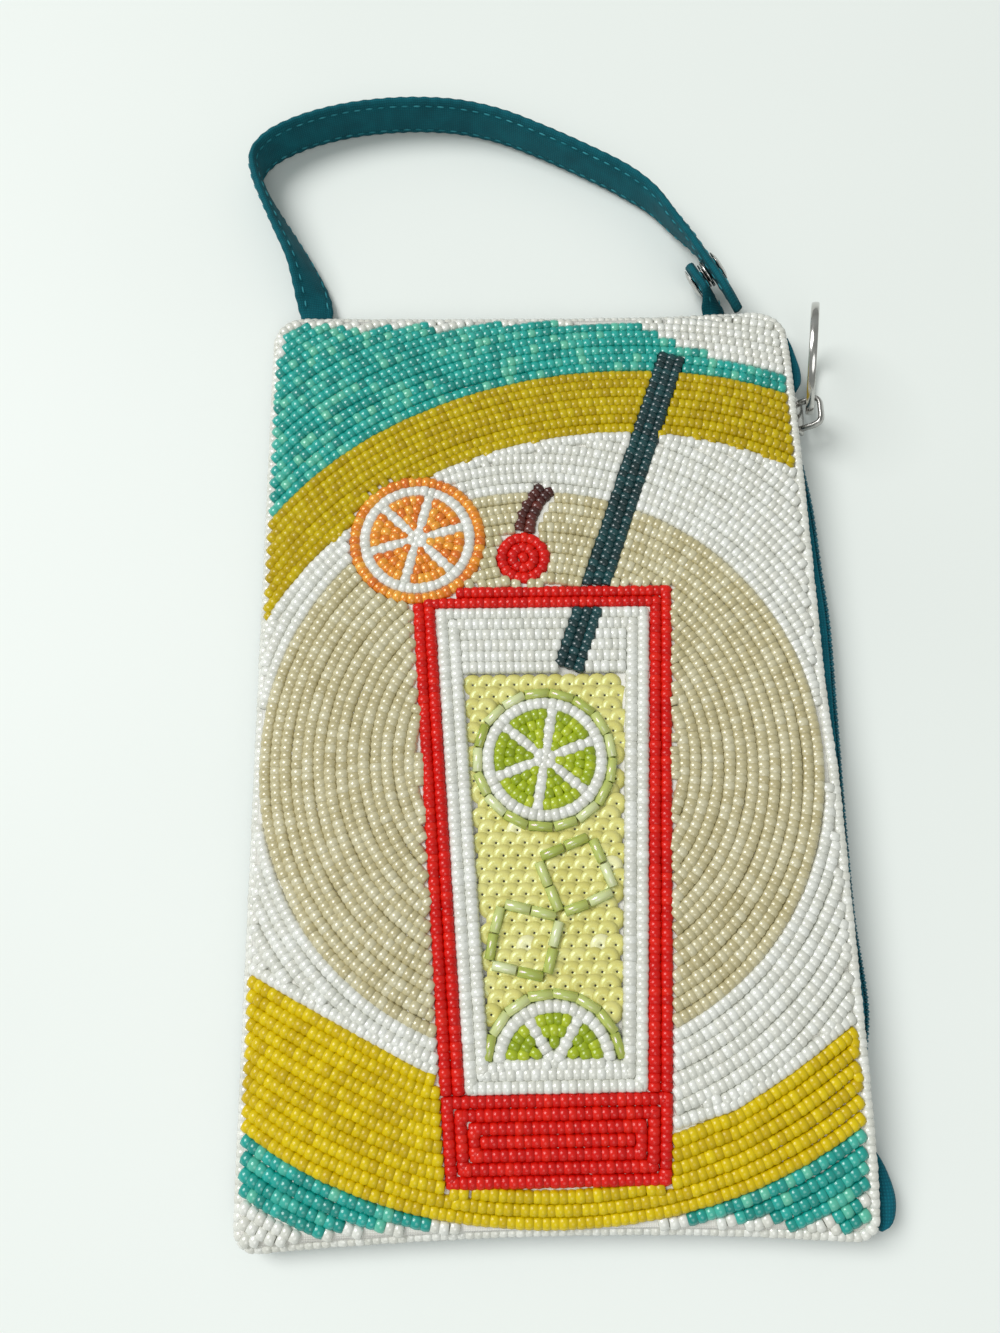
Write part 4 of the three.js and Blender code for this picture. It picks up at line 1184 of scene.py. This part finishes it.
half, wide = SLIDER_LENGTH / 2, SLIDER_HALF_WIDTH
shield = [(-half, -0.62 * wide), (-half + 1.2, -0.78 * wide), (half - 2.6, -wide), (half, -0.75 * wide),
          (half, 0.75 * wide), (half - 2.6, wide), (-half + 1.2, 0.78 * wide), (-half, 0.62 * wide)]
bm = bmesh.new()
plate = bm.faces.new([bm.verts.new((along, PLATE_LOW, across)) for along, across in shield])
raised = bmesh.ops.extrude_face_region(bm, geom=[plate])
bmesh.ops.translate(bm, verts=[v for v in raised["geom"] if isinstance(v, bmesh.types.BMVert)],
                    vec=(0, PLATE_HIGH - PLATE_LOW, 0))
keel = bmesh.ops.create_cube(bm, size=1)
bmesh.ops.scale(bm, verts=keel["verts"], vec=(half - 0.7, KEEL_HEIGHT, KEEL_WIDTH))
bmesh.ops.translate(bm, verts=keel["verts"], vec=(half / 2 - 0.05, KEEL_OUT, 0))
bmesh.ops.recalc_face_normals(bm, faces=bm.faces[:])
bmesh.ops.bevel(bm, geom=bm.edges[:], offset=EDGE_ROUND, segments=2, profile=0.5, affect="EDGES",
                material=-1)
slider_plate = set_down("zip_slider_plate", bm, slider_frame, slider_middle, nickel)

hole_middle = PLATE_HIGH + 0.1 + HOLE_HEIGHT / 2
leg = HOLE_LENGTH / 2 + BRIDGE_BAR / 2
crown = hole_middle + HOLE_HEIGHT / 2 + BRIDGE_BAR / 2
bridge_half = [(-leg, PLATE_LOW + 0.3), (-leg, PLATE_HIGH + 0.6), (-leg, crown - 1.3),
               (-leg + 0.4, crown - 0.4), (-leg + 1.3, crown)]
bridge_line = bridge_half + [(0, crown + 0.05)] + [(-along, out) for along, out in reversed(bridge_half)]
bridge_path = smooth_line(bridge_line, 4)


def flattened(value, power):
    """A sine or cosine drawn out, for a wire that is squarer than round."""
    return math.copysign(abs(value) ** power, value)


bridge_sections = []
for i, (along, out) in enumerate(bridge_path):
    run = bridge_path[min(i + 1, len(bridge_path) - 1)] - bridge_path[max(i - 1, 0)]
    run = run / np.linalg.norm(run)
    side = np.array((-run[1], run[0], 0))
    section = []
    for turn in np.radians(np.arange(0, 360, 30)):
        wide_part = flattened(math.cos(turn), 0.6) * BRIDGE_WIDTH / 2
        thin_part = flattened(math.sin(turn), 0.6) * BRIDGE_BAR / 2
        section.append(np.array((along, out, 0)) + side * thin_part + np.array((0, 0, wide_part)))
    bridge_sections.append(in_slider(section))
slider_bridge = swept("zip_slider_bridge", bridge_sections, nickel)
for piece in (slider_plate, slider_bridge):
    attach(piece, "bag")
    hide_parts("zip_slider")

# Pull ring
# A plain closed ring of flattened, nickel-plated wire. It hangs loose in the slider's bridge, stands up
# beside the bag and swings round in the bridge.
RING_RADIUS, RING_RADIAL, RING_AXIAL = 10.7, 1.0, 1.6
RING_MIDDLE = np.array((56.944, 74.603, 11.3145))
tilt = math.radians(15)
swung = math.radians(8)
ring_up = np.array((-math.sin(tilt), 0, math.cos(tilt)))
ring_side = np.array((math.cos(tilt), 0, math.sin(tilt)))
ring_along = math.cos(swung) * np.array((0, 1, 0)) + math.sin(swung) * ring_side
ring_axis = np.cross(ring_along, ring_up)
wire = []
for turn in np.radians(np.arange(0, 360, 30)):
    radial = flattened(math.cos(turn), 0.7) * RING_RADIAL / 2
    axial = flattened(math.sin(turn), 0.7) * RING_AXIAL / 2
    wire.append((RING_RADIUS + radial, 0, axial))
ring_frame = np.array([ring_along, ring_up, ring_axis]).T
bright_nickel = plated_metal("bright_nickel", ("a09d98", "c6c4c0", "dedddb"), 0.16)
ring = set_down("pull_ring_wire", spun(wire, (0, 0, 1), sides=72), ring_frame, RING_MIDDLE, bright_nickel)
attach(ring, "pull")
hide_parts("pull_ring")

# Strap and tab
# Flat bands of the teal cloth, folded double with the edges turned in and top-stitched along both sides.
# Each is pleated into the top seam, and the strap stands on its edge as it curls over the table.
STRAP_WIDTH, STRAP_THICK, STRAP_CLEAR, SEAM_Z = 10, 2, 0.1, 1.95
# Each row gives x, y and the lean from upright in degrees, then the height and width where they are set.
STRAP_RUN = [
    (-46.4, 84.6, 90, SEAM_Z, 7), (-46.4, 90.4, 80, 2.3, 7), (-47.2, 95.5, 52, None, 9), (-49.6, 102.5, 32),
    (-53.4, 110.3, 24), (-57, 117.5, 14), (-59.6, 123.3, 6), (-60.6, 128.2, 0), (-58, 132.6, 0),
    (-51.5, 136.8, 0), (-42.3, 140, 0), (-33, 141.6, 0), (-24, 142, 0), (-15, 141.2, 0), (-6, 138.7, 0),
    (3, 134.5, 0), (12, 129.6, 0), (21, 124.1, 0), (27.4, 118.7, -6), (32, 112.1, -15, 5.5),
    (35.4, 106.7, -23, 6.3), (37.66, 102.6, -27, 6.63), (40.86, 96.6, -27, 6.63), (42.6, 93.4, -27, 6.3),
    (44.4, 90.5, -27, 5.2)]
TAB_RUN = [
    (39.6, 84.6, 90, SEAM_Z, 4.8), (39.7, 89.9, 84, 2.2, 4.8), (39.4, 92.1, 54, None, 7), (38.2, 94.7, 27),
    (36.5, 97.9, 27), (34.5, 101.7, 27)]
STITCH_INSET, STITCH_LENGTH, STITCH_STEP, STITCH_WIDTH = 1.6, 1.9, 2.7, 0.42
STITCH_FROM_SEAM, STITCH_FROM_END, STITCH_SEAT = 9, 4, 0.86
PULLED_IN, PUCKER, NARROWEST = 0.1, 0.08, 0.06


def band_stations(run, count):
    """Points along a band, each with its ways along, across and out, half width and the length so far."""
    rows = []
    for x, y, lean, *rest in run:
        height = rest[0] if rest else None
        width = rest[1] if len(rest) > 1 else STRAP_WIDTH
        tip = math.radians(lean)
        if height is None:
            height = (width * math.cos(tip) + STRAP_THICK * abs(math.sin(tip))) / 2 + STRAP_CLEAR
        rows.append((x, y, height, lean, width))
    rows = np.array(rows)
    path = smooth_line(rows[:, :3], 16)
    turns = smooth_line(rows[:, 3:], 16)
    marks = np.concatenate([[0], np.cumsum(np.linalg.norm(np.diff(path, axis=0), axis=1))])

    def at(mark):
        return np.array([np.interp(mark, marks, path[:, k]) for k in range(3)])

    stations = []
    round_end = rows[-1, 4] / 2
    plain = np.linspace(0, marks[-1] - round_end, count)
    tip_marks = marks[-1] - round_end + round_end * np.sin(np.linspace(0, math.pi / 2, 10)[1:])
    for mark in np.concatenate([plain, tip_marks]):
        forward = at(mark + 0.5) - at(mark - 0.5)
        forward[2] = 0
        forward /= np.linalg.norm(forward)
        left = np.array((-forward[1], forward[0], 0))
        lean = math.radians(np.interp(mark, marks, turns[:, 0]))
        half = np.interp(mark, marks, turns[:, 1]) / 2
        across = np.array((0, 0, math.cos(lean))) + left * math.sin(lean)
        face = np.array((0, 0, math.sin(lean))) - left * math.cos(lean)
        stations.append((at(mark), forward, across, face, half, mark))
    return stations


def band_section(point, across, face, half, taper, pucker):
    """A top-stitched band cut across: round folded edges and a shallow groove along each row of stitches."""
    half = half * taper
    thick = STRAP_THICK / 2
    line = half - STITCH_INSET * min(1, half / 4)
    profile = [(half, 0.0), (half - 0.12, 0.4), (half - 0.45, 0.62), (line + 0.3, 0.84),
               (line, 0.78 - pucker), (line - 0.35, 0.92), (0.45 * half, 1.0), (0, 1.0)]
    upper = profile + [(-w, h) for w, h in profile[-2::-1]]
    loop = upper + [(w, -h) for w, h in upper[-2:0:-1]]
    return [point + across * w + face * h * thick for w, h in loop]


def band_piece(name, stations):
    """A stitched band along its stations, pulled in a little at every stitch, with a half-round free end."""
    sections = []
    for point, _, across, face, half, mark in stations:
        from_end = min(1, (stations[-1][5] - mark) / stations[-1][4])
        taper = max(NARROWEST, math.sqrt(1 - (1 - from_end) ** 2))
        pucker = math.cos(2 * math.pi * mark / STITCH_STEP)
        half = half + PULLED_IN * pucker - PULLED_IN
        sections.append(band_section(point, across, face, half, taper, PUCKER * pucker))
    return swept(name, sections, band_cloth)


def stitch_row(name, stations):
    """Separate stitches along both edges of a band, on both faces."""
    bm = bmesh.new()
    bmesh.ops.create_icosphere(bm, subdivisions=1, radius=0.5)
    points, faces = lifted_from(bm)
    points = points * (STITCH_LENGTH, STITCH_WIDTH, STITCH_WIDTH)
    marks = np.array([station[5] for station in stations])
    origins = []
    frames = []
    for mark in np.arange(STITCH_FROM_SEAM, marks[-1] - STITCH_FROM_END, STITCH_STEP):
        i = int(np.clip(np.searchsorted(marks, mark), 1, len(stations) - 1))
        share = (mark - marks[i - 1]) / (marks[i] - marks[i - 1])
        point, _, across, face, half = [(1 - share) * a + share * b
                                        for a, b in zip(stations[i - 1][:5], stations[i][:5])]
        run = stations[i][0] - stations[i - 1][0]
        run = run / np.linalg.norm(run)
        line = half - STITCH_INSET * min(1, half / 4)
        for edge in (-1, 1):
            for side in (-1, 1):
                origins.append(point + across * edge * line + face * side * (STITCH_SEAT * STRAP_THICK / 2))
                out = face / np.linalg.norm(face)
                frames.append(np.array([run, np.cross(out, run), out]).T)
    tints = np.random.default_rng(len(origins)).random(len(origins))
    return repeated(name, (points, faces), np.array(origins), np.array(frames), tints, thread)


band_cloth = woven_cloth("teal_strap_cloth", ("033a43", "054f5a", "086470"), thread=0.5, coordinates="UV",
                         sheen=0.03)
thread = bead_glass("teal_sewing_thread", ("2b7782", "368692", "42949f"), roughness=0.6, coat=0.0)
strap_stations = band_stations(STRAP_RUN, count=330)
tab_stations = band_stations(TAB_RUN, count=60)
strap = band_piece("wrist_strap", strap_stations)
tab = band_piece("strap_tab_band", tab_stations)
strap_stitches = stitch_row("wrist_strap_stitches", strap_stations)
tab_stitches = stitch_row("strap_tab_stitches", tab_stations)
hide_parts("strap")
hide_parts("strap_tab")
for piece in (strap, tab, strap_stitches, tab_stitches):
    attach(piece, "bag")

# Press stud
# A pressed and nickel-plated stud and socket, each riveted through its band with a domed cap outside, so the
# strap's end closes on the tab.
STUD_RADIUS, STUD_GAP, STUD_CLEAR, STUD_POST, STUD_CAP, STUD_FROM_END = 3.4, 1.6, 0.25, 1.3, 1.0, 4.1
end_point, end_forward, _, stud_axis = tab_stations[-1][:4]
stud_middle = end_point - end_forward * STUD_FROM_END + stud_axis * STRAP_THICK / 2
stud_frame = np.array([end_forward, stud_axis, np.cross(end_forward, stud_axis)]).T


def turned_half(name, profile):
    """A turned piece from radius and height along the stud's line."""
    bm = spun([(radius, height, 0) for radius, height in profile], (0, 1, 0), sides=40, closed=False)
    bmesh.ops.remove_doubles(bm, verts=bm.verts[:], dist=1e-5)
    return set_down(name, bm, stud_frame, stud_middle, nickel)


def domed(face, out):
    """A domed cap on one face of a band, from its middle to its rim and back to the post."""
    radius = STUD_RADIUS
    steps = [(0, STUD_CAP), (1.2, 0.96 * STUD_CAP), (2.2, 0.86 * STUD_CAP), (radius - 0.5, 0.62),
             (radius - 0.1, 0.48), (radius, 0.36), (radius - 0.12, STUD_CLEAR), (STUD_POST, STUD_CLEAR)]
    return [(across, face + out * height) for across, height in steps]


inner_rim = STUD_RADIUS - 0.6
stud = turned_half("press_stud_ball", domed(-STRAP_THICK, -1) + [
    (STUD_POST, STUD_CLEAR), (inner_rim - 0.15, STUD_CLEAR), (inner_rim, STUD_CLEAR + 0.12),
    (inner_rim, 0.45), (inner_rim - 0.15, 0.55), (1.75, 0.55), (1.55, 0.65), (1.45, 0.82), (1.2, 0.88),
    (0, 0.88)])
outer_rim = STUD_RADIUS - 0.4
socket = turned_half("press_stud_socket", domed(STUD_GAP + STRAP_THICK, 1) + [
    (STUD_POST, STUD_GAP - STUD_CLEAR), (outer_rim - 0.15, STUD_GAP - STUD_CLEAR), (outer_rim, 1.2),
    (outer_rim, 0.95), (outer_rim - 0.15, 0.8), (2.1, 0.8), (1.95, 0.9), (1.9, 1.1), (0, 1.1)])
for piece, node in ((stud, "snap_stud"), (socket, "snap_socket")):
    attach(piece, "bag")
    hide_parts(node)

# Table and light
# A pale table top, lit by a broad soft light from the upper left, a weaker one from the near side, and an
# even room, so the bag throws a soft shadow to its right.
TABLE_HALF, TABLE_DROP = 3, 0.0001
bm = bmesh.new()
bmesh.ops.create_grid(bm, x_segments=1, y_segments=1, size=TABLE_HALF)
bmesh.ops.translate(bm, verts=bm.verts[:], vec=(0, 0, -TABLE_DROP))
table_top, *_ = mottled("pale_table_top", ("e4e9e5", "ebf0ec", "eff3f0"), roughness=0.6, scale=6)
table = finished("table", bm, table_top, smooth=False)


def soft_light(name, place, aim, size, power):
    lamp = bpy.data.lights.new(name, "AREA")
    lamp.shape = "DISK"
    lamp.size = size
    lamp.energy = power
    holder = bpy.data.objects.new(name, lamp)
    holder.location = place
    holder.rotation_euler = (Vector(aim) - Vector(place)).to_track_quat("-Z", "Y").to_euler()
    bpy.context.scene.collection.objects.link(holder)


soft_light("window_light", place=(-1.5, 0.72, 2.0), aim=(0, 0, 0), size=1.5, power=49.5)
soft_light("room_light", place=(0.05, -0.75, 1.0), aim=(0, -0.05, 0), size=0.8, power=3.0)
room = bpy.data.worlds.new("bright_room")
room.use_nodes = True
room.node_tree.nodes["Background"].inputs["Color"].default_value = (0.95, 1.0, 0.97, 1)
room.node_tree.nodes["Background"].inputs["Strength"].default_value = 0.36
bpy.context.scene.world = room
bpy.context.scene.view_settings.view_transform = "Standard"
